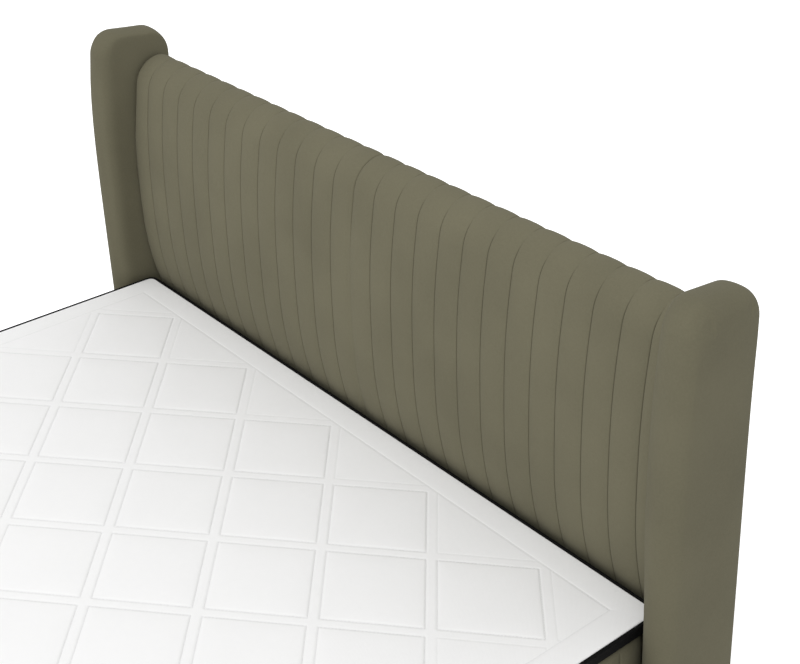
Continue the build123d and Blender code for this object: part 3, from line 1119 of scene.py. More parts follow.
@cache
def stitch_rows() -> Tree:
    """Stitches laid end to end along a mesh's edges.

    Returns:
        A tree with inputs for the pitch, the stitch's length and the thread's radius.
    """
    graph, given, made = geometry_tree("stitch_rows", "Pitch", "Stitch", "Thread Radius")
    curve = graph.add("GeometryNodeMeshToCurve", {"Mesh": given["Geometry"]})
    places = graph.add(
        "GeometryNodeResampleCurve",
        {"Curve": curve.outputs[0], "Length": given["Pitch"]},
        mode="LENGTH",
    )
    turned = graph.add(
        "FunctionNodeAlignRotationToVector",
        {"Vector": graph.add("GeometryNodeInputTangent").outputs[0]},
        axis="Z",
    )
    thread = graph.add("GeometryNodeMeshUVSphere", {"Segments": 4, "Rings": 3, "Radius": 1.0})
    radius, half = given["Thread Radius"], graph.math("MULTIPLY", given["Stitch"], 0.5)
    size = graph.add("ShaderNodeCombineXYZ", {"X": radius, "Y": radius, "Z": half})
    rows = graph.add(
        "GeometryNodeInstanceOnPoints",
        {
            "Points": places.outputs[0],
            "Instance": thread.outputs[0],
            "Rotation": turned.outputs[0],
            "Scale": size.outputs[0],
        },
    )
    finish_tree(graph, given, made, rows.outputs[0])
    return graph.tree


@cache
def piped_edge() -> Tree:
    """A round cord sewn along a mesh's edges.

    Returns:
        A tree with an input for the cord's radius.
    """
    graph, given, made = geometry_tree("piped_edge", "Radius")
    curve = graph.add("GeometryNodeMeshToCurve", {"Mesh": given["Geometry"]})
    ring = graph.add(
        "GeometryNodeCurvePrimitiveCircle",
        {"Resolution": 8, "Radius": given["Radius"]},
    )
    inputs = {0: curve.outputs[0], 1: ring.outputs[0], "Fill Caps": True}
    cord = graph.add("GeometryNodeCurveToMesh", inputs)
    finish_tree(graph, given, made, cord.outputs[0])
    return graph.tree


@cache
def pocket_rows() -> Tree:
    """Pocket springs that stand on a mesh's corners, each a tied barrel of cloth.

    Returns:
        A tree with inputs for the pocket's radius, height and waist.
    """
    graph, given, made = geometry_tree("pocket_rows", "Radius", "Height", "Pinch")
    inputs = {"Vertices": 10, "Side Segments": 6, "Fill Segments": 1}
    inputs.update({"Radius": given["Radius"], "Depth": given["Height"]})
    barrel = graph.add("GeometryNodeMeshCylinder", inputs, fill_type="NGON")
    where = graph.add("GeometryNodeInputPosition").outputs[0]
    parts = graph.add("ShaderNodeSeparateXYZ", {0: where})
    rise = graph.math("ABSOLUTE", graph.out(parts, 2) * 2.0 / given["Height"])
    waist = ((rise**4.0) * given["Pinch"]).flipped()
    x, y, z = (graph.out(parts, k) for k in range(3))
    place = graph.add("ShaderNodeCombineXYZ", {"X": x * waist, "Y": y * waist, "Z": z})
    tied = graph.add(
        "GeometryNodeSetPosition", {"Geometry": barrel.outputs[0], "Position": place.outputs[0]}
    )
    rows = graph.add(
        "GeometryNodeInstanceOnPoints",
        {"Points": given["Geometry"], "Instance": tied.outputs[0]},
    )
    finish_tree(graph, given, made, rows.outputs[0])
    return graph.tree


def grown(piece: Piece, tree: Tree, finish: Finish, sizes: dict[str, float]) -> Piece:
    """Runs a geometry tree over a piece and keeps the result as plain mesh.

    Args:
        piece: What the tree starts from.
        tree: The geometry tree.
        finish: What the result is made of.
        sizes: Values for the tree's named inputs.

    Returns:
        The same piece, with its new mesh.
    """
    modifier = piece.modifiers.new(tree.name, "NODES")
    modifier.node_group = tree
    values = {**sizes, "Material": material_of(finish)}
    for item in tree.interface.items_tree:
        if item.in_out == "INPUT" and item.name in values:
            modifier[item.identifier] = values[item.name]
    baked(piece)
    piece.data.shade_smooth()
    return piece


# Filling and cover


@dataclass(frozen=True)
class ClothRun:
    """A short cloth simulation that presses a cover out from its filling."""

    cap: float
    pressure: float = 4.0
    frames: int = 20
    mass: float = 0.3
    stiffness: float = 12.0
    shear: float = 6.0
    bending: float = 4.0
    quality: int = 6

    def relax(self, piece: Piece, held: Array) -> None:
        """Lets the cover settle, moving no corner further than the cap.

        Args:
            piece: The cover's mesh piece.
            held: Which corners are sewn or glued down.
        """
        scene = bpy.context.scene
        start = points_of(piece)
        group = piece.vertex_groups.new(name="held")
        group.add(np.flatnonzero(held).tolist(), 1.0, "REPLACE")
        modifier = piece.modifiers.new("cover", "CLOTH")
        cloth = modifier.settings
        cloth.quality = self.quality
        cloth.mass = self.mass
        cloth.tension_stiffness = cloth.compression_stiffness = self.stiffness
        cloth.shear_stiffness = self.shear
        cloth.bending_stiffness = self.bending
        cloth.use_pressure = True
        cloth.uniform_pressure_force = self.pressure
        cloth.effector_weights.gravity = 0.0
        cloth.vertex_group_mass = group.name
        modifier.collision_settings.use_collision = False
        modifier.point_cache.frame_start, modifier.point_cache.frame_end = 1, self.frames
        for step in range(1, self.frames + 1):
            scene.frame_set(step)
        ended = points_of(piece.evaluated_get(bpy.context.evaluated_depsgraph_get()))
        moves = ended - start
        far = np.linalg.norm(moves, axis=1, keepdims=True)
        moves *= np.minimum(1.0, self.cap / np.maximum(far, TINY))
        piece.modifiers.clear()
        piece.vertex_groups.clear()
        set_points(piece, start + moves)
        scene.frame_set(1)
        LOG.info("%s settled, by up to %.1f mm", piece.name, far.max() / MM)


@dataclass(frozen=True)
class Channels:
    """How a channelled cover swells between its seams and is pulled in at them."""

    crown: float
    flatness: float
    crease_depth: float
    crease_width: float

    def sew(self, piece: Piece, finish: Finish) -> None:
        """Shapes a cover that stores its channels at its corners.

        Args:
            piece: The cover's mesh piece.
            finish: What it is made of.
        """
        sizes = {
            "Crown": self.crown,
            "Flatness": self.flatness,
            "Crease Depth": self.crease_depth,
            "Crease Width": self.crease_width,
        }
        grown(piece, sewn_channels(), finish, sizes)


CUSHION_CHANNELS = Channels(2.6 * MM, 3.0, 1.6 * MM, 0.65 * MM)
BORDER_CHANNELS = Channels(4.4 * MM, 2.6, 2.2 * MM, 1.2 * MM)
CHANNEL_SHARES = (0.0, 0.014, 0.036, 0.08, 0.18, 0.34, 0.5, 0.66, 0.82, 0.92, 0.964, 0.986)


def channel_columns(seams: Array) -> tuple[Array, Array, Array]:
    """Columns of corners across sewn channels, close together beside each seam.

    Args:
        seams: Where the seams are, from the first edge to the last.

    Returns:
        The place of each column, its channel number with a share, and its channel's width.
    """
    shares = np.array(CHANNEL_SHARES)
    wide = np.diff(seams)[:, None]
    places = np.append(seams[:-1, None] + wide * shares, seams[-1])
    numbers = np.append(np.arange(len(wide))[:, None] + shares, len(wide))
    return places, numbers, np.append(np.repeat(wide, len(shares)), wide[-1])


@dataclass
class HeadboardCushion:
    """One of the two headboard cushions: upright channels that roll over its top.

    The fades are pairs of places where something starts and where it is whole: from the
    nearer end across the bed, or from the rear ledge along the cover.
    """

    plan: BedPlan
    side: Side
    count: int = 13
    end_rounds: tuple[float, float] = (4.0 * MM, 20.0 * MM)
    end_steps: int = 6
    end_share: float = 0.9
    side_gap: float = 2.0 * MM
    board_depth: float = 88.0 * MM
    rear_depth: float = 120.0 * MM
    roll_radius: float = 75.0 * MM
    rise: float = 603.0 * MM
    shoulder_depth: float = 20.0 * MM
    belly_depth: float = -2.0 * MM
    belly_rise: float = 220.0 * MM
    toe_depth: float = 38.0 * MM
    drop: float = 50.0 * MM
    upper_bend: float = 2.6
    lower_bend: float = 2.36
    rear_bow: float = 10.0 * MM
    face_rows: int = 40
    roll_rows: int = 29
    rear_rows: int = 14
    back_rows: int = 8
    spacing: float = 10.0 * MM
    smoothing: float = 16.0 * MM
    toe_draw: float = 0.15
    draw_fade: Span = (320.0 * MM, 200.0 * MM)
    hem: float = 20.0 * MM
    seam_fade: Span = (98.0 * MM, 148.0 * MM)
    rear_seam_fade: Span = (85.0 * MM, 65.0 * MM)
    rear_seam: float = 0.6
    end_swell: float = 12.0 * MM
    end_seam_fade: Span = (11.0 * MM, 31.0 * MM)
    held_end: float = 10.0 * MM
    back_length: float = 600.0 * MM
    cap: float = 3.0 * MM
    fill: float = 0.85

    def front_path(self) -> Array:
        """The seam's line from the toe, up the front and over the roll to the rear.

        Returns:
            Depth behind the head plane and rise above the topper, one row each.
        """
        belly, shoulder = self.belly_rise, self.rise - self.roll_radius
        low = np.linspace(-self.drop, belly, self.face_rows)
        reach = (belly - low) / (belly + self.drop)
        under = self.belly_depth + (self.toe_depth - self.belly_depth) * reach**self.lower_bend
        high = np.linspace(belly, shoulder, self.face_rows)[1:]
        reach = (high - belly) / (shoulder - belly)
        over = self.belly_depth + (self.shoulder_depth - self.belly_depth) * reach**self.upper_bend
        front = np.stack([np.concatenate([under, over]), np.concatenate([low, high])], axis=-1)
        crest_depth = self.shoulder_depth + self.roll_radius
        turns = math.pi - quarter_turn(self.roll_rows)[1:]
        roll = arc((crest_depth, shoulder), self.roll_radius, turns)
        share = np.linspace(0.0, 1.0, self.rear_rows)[1:, None]
        crest = np.array([crest_depth, self.rise])
        ledge = np.array([self.rear_depth, self.plan.ledge - self.plan.topper_top])
        rear = crest + (ledge - crest) * share + self.rear_bow * 4.0 * share * (1.0 - share)
        return smoothed_path(np.concatenate([front, roll, rear]), self.spacing, self.smoothing)

    def back_path(self, front: Array) -> Array:
        """The rest of the slice, from the rear ledge down the board to the toe.

        Args:
            front: The front path.

        Returns:
            Points between the front path's end and its start.
        """
        heights = np.linspace(front[-1, 1], front[0, 1], self.back_rows)
        return np.column_stack([np.full(self.back_rows, self.board_depth), heights])

    def build(self) -> None:
        """Builds the cushion."""
        width = self.plan.wing_inner - self.side_gap
        places, numbers, widths = channel_columns(np.linspace(0.0, width, self.count + 1))
        first, last = self.end_rounds
        turn = 1 - np.cos(quarter_turn(self.end_steps)[:-1])
        keep = (places > first * self.end_share) & (width - places > last * self.end_share)
        stations = np.concatenate([first * turn, places[keep], width - last * turn[::-1]])
        numbers, widths = (np.interp(stations, places, row) for row in (numbers, widths))
        edge = np.minimum(stations, width - stations)
        round_end = np.where(stations < width / 2, first, last)
        short = round_end - np.clip(edge, 0.0, round_end)
        inset = round_end - np.sqrt(round_end**2 - short**2)

        front = self.front_path()
        back = self.back_path(front)
        inward = -path_normals(front)
        length = running_length(front)
        rest = length[-1] - length
        draw = self.toe_draw + (1 - self.toe_draw) * fade(rest, *self.draw_fade)
        rows = len(front) + len(back)
        loops = []
        for station, reach in zip(stations, inset):
            slice_points = front + inward * (reach * draw)[:, None]
            slice_points[:, 0] = np.minimum(slice_points[:, 0], self.rear_depth)
            y, z = np.concatenate([slice_points, back]).T
            x = np.full(rows, self.side.value * station)
            loops.append(np.column_stack([x, self.plan.head_y + y, self.plan.topper_top + z]))
        piece = tube_piece(f"{self.side.word}_channel_cushion", loops)

        swollen = fade(length, 0.0, self.hem) * fade(rest, 0.0, self.hem)
        rear_seams = self.rear_seam * fade(rest, *self.rear_seam_fade)
        sewn = swollen * np.maximum(fade(rest, *self.seam_fade), rear_seams)
        swollen, sewn = (np.pad(row, (0, len(back))) for row in (swollen, sewn))
        set_values(
            piece,
            channel=np.repeat(numbers, rows),
            pitch=np.repeat(widths, rows),
            fullness=np.outer(fade(edge, 0.0, self.end_swell), swollen),
            crease=np.outer(fade(edge, *self.end_seam_fade), sewn),
        )
        down_back = length[-1] + np.linspace(0.0, self.back_length, len(back))
        along = np.concatenate([length, down_back])
        set_surface(piece, np.repeat(stations, rows), np.tile(along, len(stations)))
        on_seam = np.abs(numbers - np.round(numbers)) < 1e-6
        held = (on_seam | (edge < self.held_end))[:, None] | (swollen < 0.5)
        ClothRun(self.cap).relax(piece, held.ravel())
        subdivided(piece)
        CUSHION_CHANNELS.sew(piece, OLIVE)
        replaced = [f"{self.side.word}_headboard_cushion"]
        settle(piece, Body.BASE, OLIVE, replaced)


@dataclass
class Wing:
    """One tall padded post beside the headboard."""

    plan: BedPlan
    side: Side
    front_corner: float = 62.0 * MM
    back_corner: float = 57.0 * MM
    inner_round: float = 40.0 * MM
    outer_round: float = 34.0 * MM
    inner_shares: tuple[float, float] = (0.15, 0.35)
    outer_shares: tuple[float, float] = (0.95, 0.8)
    forward: float = 3.0 * MM
    lean: float = 34.0 * MM
    bend: float = 4.8
    lift: float = 3.0 * MM
    fall: float = 19.0 * MM
    slim: float = 1.5 * MM
    waist: float = 7.0 * MM
    waist_rise: float = 300.0 * MM
    waist_fade: Span = (30.0 * MM, -20.0 * MM)
    crown: float = 1.5 * MM
    rim_steps: int = 7
    edge_rows: int = 56
    corner_rows: int = 12
    top_rows: int = 6
    least_corner: float = 6.0 * MM
    flat_shares: tuple[float, ...] = (0.7, 0.62, 0.55, 0.5)
    held_inside: float = 3.0 * MM
    held_foot: float = 6.0 * MM
    cap: float = 4.0 * MM
    fill: float = 0.9

    def outline(self, inset: float, rounding: float, shares: tuple[float, float]) -> Array:
        """The side view: up the back, over the top and down the front.

        Args:
            inset: How far it is drawn in from the post's front.
            rounding: How much of that can belong to a rounded edge.
            shares: How strong that rounding is at the back and on top.

        Returns:
            Y and Z of each point.
        """
        plan = self.plan
        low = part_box(f"{self.side.word}_wing_pad")[0].z + max(0.0, inset - rounding)
        behind, under = (inset - (1 - share) * min(inset, rounding) for share in shares)
        front, back = plan.wing_front - self.forward + inset, plan.back_y - behind
        top = plan.wing_top - under
        first = max(self.front_corner - (inset + under) / 2, self.least_corner)
        second = max(self.back_corner - (behind + under) / 2, self.least_corner)
        turn = quarter_turn(self.corner_rows)
        rows = [
            np.linspace((back, low), (back, top - second), self.edge_rows),
            arc((back - second, top - second), second, turn[1:]),
            np.linspace((back - second, top), (front + first, top), self.top_rows)[1:-1],
            arc((front + first, top - first), first, turn[:-1] + math.pi / 2),
            np.linspace((front, top - first), (front, low), self.edge_rows),
        ]
        outline = np.concatenate(rows)
        height = (outline[:, 1] - plan.topper_top) / (plan.wing_top - plan.topper_top)
        height = np.clip(height, 0.0, 1.0)
        ahead = (plan.back_y - outline[:, 0]) / (plan.back_y - plan.wing_front)
        outline[:, 0] += self.lean * height**self.bend * ahead
        outline[:, 1] += (self.lift - self.fall * (1 - ahead)) * height
        return outline

    def slices(self, thickness: float) -> list[tuple[float, Array]]:
        """The post's upright slices, from its inner face to its outer one.

        Args:
            thickness: How thick the post is.

        Returns:
            How far each slice is from the inner face, and its outline.
        """
        turns = quarter_turn(self.rim_steps)
        flat = (self.plan.back_y - self.plan.wing_front) / 2 * np.array(self.flat_shares)
        made = []
        for radius, shares, outer in (
            (self.inner_round, self.inner_shares, False),
            (self.outer_round, self.outer_shares, True),
        ):
            insets = np.concatenate([flat, radius * (1 - np.sin(turns))])
            swells = self.crown * fade(flat, radius, flat[0]) if outer else 0.0 * flat
            reaches = np.concatenate([-swells, radius * (1 - np.cos(turns))])
            reaches = thickness - reaches if outer else reaches
            half = [
                (reach, self.outline(inset, radius, shares))
                for reach, inset in zip(reaches, insets)
            ]
            made += half[::-1] if outer else half
        return made

    def build(self) -> None:
        """Builds the post's cover."""
        plan = self.plan
        thickness = plan.wing_outer - plan.wing_inner - self.slim
        waist_ends = (plan.topper_top + self.waist_rise, plan.topper_top)
        loops = []
        for reach, yz in self.slices(thickness):
            low = fade(yz[:, 1], *waist_ends)
            low *= fade(yz[:, 0], *(plan.head_y + place for place in self.waist_fade))
            x = plan.wing_inner + reach + self.waist * low * fade(reach, thickness, 0.0)
            loops.append(np.column_stack([self.side.value * x, yz]))
        count = len(loops[0])
        last = (len(loops) - 1) * count
        points = np.concatenate(loops)
        faces = grid_faces(len(loops), count, closed_columns=True).tolist()
        for i in range(count // 2 - 1):
            strip = [i, i + 1, count - 2 - i, count - 1 - i]
            faces += [strip[::-1], [last + k for k in strip]]
        piece = make_piece(f"{self.side.word}_wing_cover", points, faces)
        set_surface(piece, points[:, 1] + points[:, 0], points[:, 2])
        outward(piece)
        held = np.abs(points[:, 0]) < plan.wing_inner + self.held_inside + self.waist
        held |= points[:, 2] < points[:, 2].min() + self.held_foot
        ClothRun(self.cap).relax(piece, held)
        subdivided(piece)
        replaced = [f"{self.side.word}_wing_pad"]
        # The wing cover wears the darker copy of the velvet, which is painted shade.
        settle(piece, Body.BASE, OLIVE_PAINTED_SHADE, replaced)


@dataclass
class Band:
    """A closed upholstered band round a mattress, box or topper."""

    name: str
    body: Body
    replaced: Sequence[str]
    outline: Rectangle
    hollow: Rectangle
    z: Span
    finish: Finish
    fill: float = 0.7
    pitch: float = 83.3 * MM
    roll: float = 9.0 * MM
    taper: float = 0.0
    face_rows: int = 18
    roll_rows: int = 5
    least_corner: float = 0.3
    fading: float = 30.0 * MM
    plain_spacing: float = 14.0 * MM
    channelled: tuple[bool, bool, bool, bool] = (True, True, True, True)

    def rim_columns(self) -> tuple[Array, Array, Array, Array]:
        """Columns of corners round the band's sharp outline.

        Returns:
            The columns' points, channel numbers, channel widths and whether they are sewn.
        """
        sides = []
        for (start, end), has_channels in zip(self.outline.sides(), self.channelled):
            length = float(np.linalg.norm(end - start))
            spacing = self.pitch if has_channels else self.plain_spacing
            places = np.linspace(0.0, length, round(length / spacing) + 1)
            if has_channels:
                places, numbers, widths = channel_columns(places)
            else:
                numbers, widths = (np.full(len(places), value) for value in (0.5, self.pitch))
            points = start + (end - start) * (places / length)[:, None]
            sewn = np.full(len(places), float(has_channels))
            sides.append([rows[:-1] for rows in (points, numbers, widths, sewn)])
        return tuple(np.concatenate(rows) for rows in zip(*sides))

    def slice_rows(self) -> tuple[Array, Array, Array]:
        """The outside of the band's upright slice, from its bottom to its top.

        Returns:
            The height, the inset and the fullness of each row.
        """
        low, high = self.z
        shoulder = high - self.roll
        turn = quarter_turn(self.roll_rows)
        rise, roll_inset = self.roll * (1 - np.sin(turn)), self.roll * (1 - np.cos(turn))
        face = np.linspace(low + self.roll, shoulder, self.face_rows)[1:-1]
        heights = np.concatenate([low + rise[::-1], face, high - rise])
        insets = np.concatenate([roll_inset[::-1], np.zeros(len(face)), roll_inset])
        insets += self.taper * np.clip((shoulder - heights) / (shoulder - low), 0.0, 1.0)
        reach = min(self.fading, (high - low) / 3)
        full = fade(heights, low, low + reach) * fade(heights, high, high - reach)
        return heights, insets, full

    def build(self) -> None:
        """Builds the band."""
        rim, numbers, widths, sewn = self.rim_columns()
        heights, insets, full = self.slice_rows()
        corner = self.outline.corner
        least = corner * self.least_corner
        rings = [self.outline.drawn_in(inset, max(corner - inset, least)) for inset in insets]
        inside = (self.z[1], sum(self.z) / 2, self.z[0])
        rings += [self.hollow.drawn_in(0.0, least) for _ in inside]
        heights = np.concatenate([heights, inside])
        full = np.outer(np.pad(full, (0, len(inside))), sewn)
        count, columns = len(rings), len(rim)
        points = [ring.ring(rim, self.outline, z) for ring, z in zip(rings, heights)]
        faces = grid_faces(count, columns, closed_rows=True, closed_columns=True)
        piece = make_piece(self.name, np.concatenate(points), faces.tolist())
        channel, pitch = np.tile(numbers, count), np.tile(widths, count)
        set_values(piece, channel=channel, pitch=pitch, fullness=full, crease=full)
        set_surface(piece, np.tile(running_length(rim), count), np.repeat(heights, columns))
        outward(piece)
        BORDER_CHANNELS.sew(piece, self.finish)
        settle(piece, self.body, self.finish, self.replaced)


QUILT_STATIONS = (0.0, 5.0, 9.2, 11.0, 12.2, 14.5, 18.0, 24.0, 34.0, 50.0, 72.0)


@dataclass
class QuiltedPanel:
    """A cover quilted in diamonds inside a plain border."""

    name: str
    body: Body
    node: str
    outline: Rectangle
    bottom: float
    level: float
    finish: Finish
    fill: float = 0.5
    half_across: float = 166.67 * MM
    half_along: float = 141.05 * MM
    border: float = 60.2 * MM
    half_band: float = 11.0 * MM
    pillow: float = 2.0 * MM
    softness: float = 17.0 * MM
    crease: float = 0.9 * MM
    crease_width: float = 1.2 * MM
    border_pull: float = 0.6
    cut_share: float = 0.35
    border_crown: float = 0.7 * MM
    border_rise: float = 0.18
    edge_round: float = 3.0 * MM
    edge_rows: int = 6
    least_corner: float = 0.1 * MM
    border_shares: tuple[float, ...] = (0.035, 0.09, 0.18, 0.32, 0.5, 0.68, 0.82, 0.91)
    border_cuts: tuple[float, ...] = (2.0, 5.0, 9.0, 15.0, 24.0, 38.0)
    stitch_pitch: float = 7.0 * MM
    stitch_length: float = 5.2 * MM
    stitch_rise: float = 0.2 * MM
    thread_radius: float = 0.45 * MM

    @property
    def line_gap(self) -> float:
        """The distance between neighbouring quilting lines."""
        return 2.0 / math.hypot(1 / self.half_across, 1 / self.half_along)

    @property
    def inner(self) -> Rectangle:
        """The quilted field, inside the border."""
        return self.outline.drawn_in(self.border, 0.0)

    def to_lines(self, x: Array, y: Array) -> tuple[Array, Array]:
        """Turns places into their numbers along the two families of lines."""
        across, along = x / self.half_across, (y - self.inner.y[1]) / self.half_along
        return (across + along) / 2, (across - along) / 2

    def from_lines(self, first: Array, second: Array) -> tuple[Array, Array]:
        """Turns numbers along the two families of lines into places."""
        y = self.inner.y[1] + self.half_along * (first - second)
        return self.half_across * (first + second), y

    def line_numbers(self) -> Array:
        """Where the diagonal grid has its rows, close together beside each line.

        Returns:
            The rows' numbers, whole ones on the lines.
        """
        gap, least_step = self.line_gap / MM, 6.0
        near = [s for s in QUILT_STATIONS if s < gap / 2 - least_step] + [gap / 2]
        cell = near + [gap - s for s in near[-2:0:-1]]
        reach, fall = self.inner.half / (self.half_across, self.half_along / 2)
        low, high = math.floor(-(reach + fall) / 2), math.ceil(reach / 2)
        return np.concatenate([k + np.array(cell) / gap for k in range(low, high)] + [[high]])

    def cell_share(self, first: Array, second: Array) -> Array:
        """How full each diamond is.

        Args:
            first: The places' numbers along one family of lines.
            second: Their numbers along the other.

        Returns:
            1 in whole diamonds, and less in those that the border cuts.
        """
        first, second = np.floor(first), np.floor(second)
        x, y = self.from_lines(first + 0.5, second + 0.5)
        inner = self.inner
        whole = np.abs(x) < inner.x[1] - self.half_across * 0.5
        whole &= y < inner.y[1] - self.half_along * 0.5
        whole &= y > inner.y[0] + self.half_along * 0.5
        return np.where(whole, 1.0, self.cut_share)

    def heights(self, x: Array, y: Array) -> tuple[Array, Array]:
        """How far the quilted field stands above the cover's flat level.

        Args:
            x: Places across the bed.
            y: Places along it.

        Returns:
            For each place, its height and how close it is to a sewn line, from 0 to 1.
        """
        (x0, x1), (y0, y1) = self.inner.x, self.inner.y
        rim = np.minimum(np.minimum(x - x0, x1 - x), np.minimum(y - y0, y1 - y))
        lines = self.to_lines(x, y)
        share = self.cell_share(*lines)
        beyond = [np.abs(n - np.round(n)) * self.line_gap - self.half_band for n in lines]
        swell = share
        for far in (rim, *beyond):
            swell = swell * (1 - np.exp(-np.maximum(far, 0.0) / self.softness))
        outside = np.hypot(*(np.maximum(-far, 0.0) for far in beyond))
        nearest = np.where(outside > 0.0, outside, np.minimum(*beyond))
        pull, edge = (np.exp(-((far / self.crease_width) ** 2)) for far in (nearest, rim))
        pull = np.maximum(pull * share, self.border_pull * edge)
        return self.pillow * swell - self.crease * pull, pull

    def field_mesh(self) -> tuple[Array, list[list[int]], list[int]]:
        """The quilted field, cut to its rectangle.

        Returns:
            Its flat corners, its faces and its rim's corner numbers in order.
        """
        margin, weld = 10 * MM, 0.02 * MM
        numbers = self.line_numbers()
        first, second = np.meshgrid(numbers, -numbers[::-1], indexing="ij")
        x, y = self.from_lines(first, second)
        spans = (self.inner.x, self.inner.y)
        (x0, x1), (y0, y1) = ((low - margin, high + margin) for low, high in spans)
        faces = grid_faces(len(numbers), len(numbers))
        inside = (x > x0) & (x < x1) & (y > y0) & (y < y1)
        faces = faces[inside.ravel()[faces].any(axis=1)]
        used, faces = np.unique(faces, return_inverse=True)
        flat = np.column_stack([x.ravel(), y.ravel(), np.zeros(x.size)])[used]
        shape = bmesh.new()
        corners = [shape.verts.new(point) for point in flat]
        for face in faces.reshape(-1, 4):
            shape.faces.new([corners[k] for k in face])
        for axis, span in enumerate(spans):
            for place, sign in zip(span, (-1.0, 1.0)):
                spot, way = Vector(), Vector()
                spot[axis], way[axis] = place, sign
                self.cut(shape, spot, way, True)
                for reach in self.border_cuts:
                    spot[axis] = place - sign * reach * MM
                    self.cut(shape, spot, way, False)
        bmesh.ops.remove_doubles(shape, verts=shape.verts, dist=weld)
        shape.verts.index_update()
        rim = {}
        for edge in shape.edges:
            if edge.is_boundary:
                loop = edge.link_loops[0]
                rim[loop.vert.index] = loop.link_loop_next.vert.index
        order = [next(iter(rim))]
        while rim[order[-1]] != order[0]:
            order.append(rim[order[-1]])
        points = np.array([vertex.co[:] for vertex in shape.verts])
        faces = [[vertex.index for vertex in face.verts] for face in shape.faces]
        shape.free()
        return points, faces, order

    def cut(self, shape: bmesh.types.BMesh, spot: Vector, way: Vector, clear: bool) -> None:
        """Cuts a mesh along an upright plane, and clears what lies beyond it if asked to."""
        parts = [*shape.verts, *shape.edges, *shape.faces]
        bmesh.ops.bisect_plane(
            shape, geom=parts, plane_co=spot, plane_no=way, clear_outer=clear, dist=1e-6
        )

    def border_rows(self) -> list[tuple[float, float]]:
        """The rows of the border, from the field to the underside.

        Returns:
            The inset and height of each row.
        """
        reach = self.border - self.edge_round
        rows = []
        for share in self.border_shares:
            swell = (1 - abs(2 * share - 1) ** 3.0) * min(1.0, share / self.border_rise) ** 0.5
            rows.append((self.border - share * reach, self.border_crown * swell))
        top = rows[-1][1] * 0.5
        for turn in quarter_turn(self.edge_rows):
            inset = self.edge_round * (1 - math.sin(turn))
            rows.append((inset, top - self.edge_round * (1 - math.cos(turn))))
        floor = self.bottom - self.level
        rows += [(0.0, floor + 1.5 * MM), (1.0 * MM, floor), (14.0 * MM, floor)]
        return rows

    def build(self) -> None:
        """Builds the cover."""
        points, faces, order = self.field_mesh()
        rise, sewn = self.heights(points[:, 0], points[:, 1])
        points[:, 2] = self.level + rise
        rim = points[order][:, :2]
        whole, numbers = [points], [np.array(order)]
        for k, (inset, height) in enumerate(self.border_rows()):
            corner = max(self.outline.corner * (1 - inset / self.border), self.least_corner)
            ring = self.outline.drawn_in(inset, corner)
            whole.append(ring.ring(rim, self.inner, self.level + height))
            numbers.append(len(points) + k * len(rim) + np.arange(len(rim)))
        for upper, lower in zip(numbers[:-1], numbers[1:]):
            corners = (np.roll(upper, -1), upper, lower, np.roll(lower, -1))
            faces += np.stack(corners, axis=-1).tolist()
        faces.append(numbers[-1][::-1].tolist())
        points = np.concatenate(whole)
        piece = make_piece(self.name, points, faces)
        # Closeness to the sewn lines and the border edge becomes the mask for painted seam shade.
        set_values(piece, seam=np.pad(sewn, (0, len(points) - len(sewn))))
        set_surface(piece, points[:, 0], points[:, 1] - points[:, 2])
        outward(piece)
        settle(piece, self.body, self.finish, [self.node])

    def clipped(self, start: Array, end: Array) -> list[Array]:
        """The part of a straight line that lies in the quilted field.

        Args:
            start: The line's start.
            end: Its end.

        Returns:
            The part's two ends, or nothing if the line passes the field by.
        """
        low, high = 0.0, 1.0
        for axis, span in enumerate((self.inner.x, self.inner.y)):
            step = end[axis] - start[axis]
            shares = sorted((place - start[axis]) / step for place in span)
            low, high = max(low, shares[0]), min(high, shares[1])
        if high - low < self.thread_radius:
            return []
        return [start + (end - start) * share for share in (low, high)]

    def stitching(self) -> None:
        """Sews both sides of each quilting line and the border's inner edge."""
        numbers = self.line_numbers()
        low, high = round(numbers[0]), round(numbers[-1])
        share = self.half_band / self.line_gap
        lines = []
        for mirrored in (False, True):
            for number in range(low, high + 1):
                for offset in (-share, share):
                    pairs = [(number + offset, other) for other in (-high - 1.0, -low + 1.0)]
                    if mirrored:
                        pairs = [(-second, -first) for first, second in pairs]
                    lines += self.clipped(*(np.array(self.from_lines(*pair)) for pair in pairs))
        edges = [(k, k + 1) for k in range(0, len(lines), 2)]
        edges += [(len(lines) + k, len(lines) + (k + 1) % 4) for k in range(4)]
        (x0, x1), (y0, y1) = self.inner.x, self.inner.y
        flat = [*lines, (x0, y0), (x1, y0), (x1, y1), (x0, y1)]
        rise = self.level - self.crease + self.stitch_rise
        points = [(x, y, rise) for x, y in flat]
        piece = make_piece(f"{self.name}_stitching", points, edges=edges)
        sizes = {
            "Pitch": self.stitch_pitch,
            "Stitch": self.stitch_length,
            "Thread Radius": self.thread_radius,
        }
        grown(piece, stitch_rows(), self.finish, sizes)
        settle(piece, self.body, self.finish)


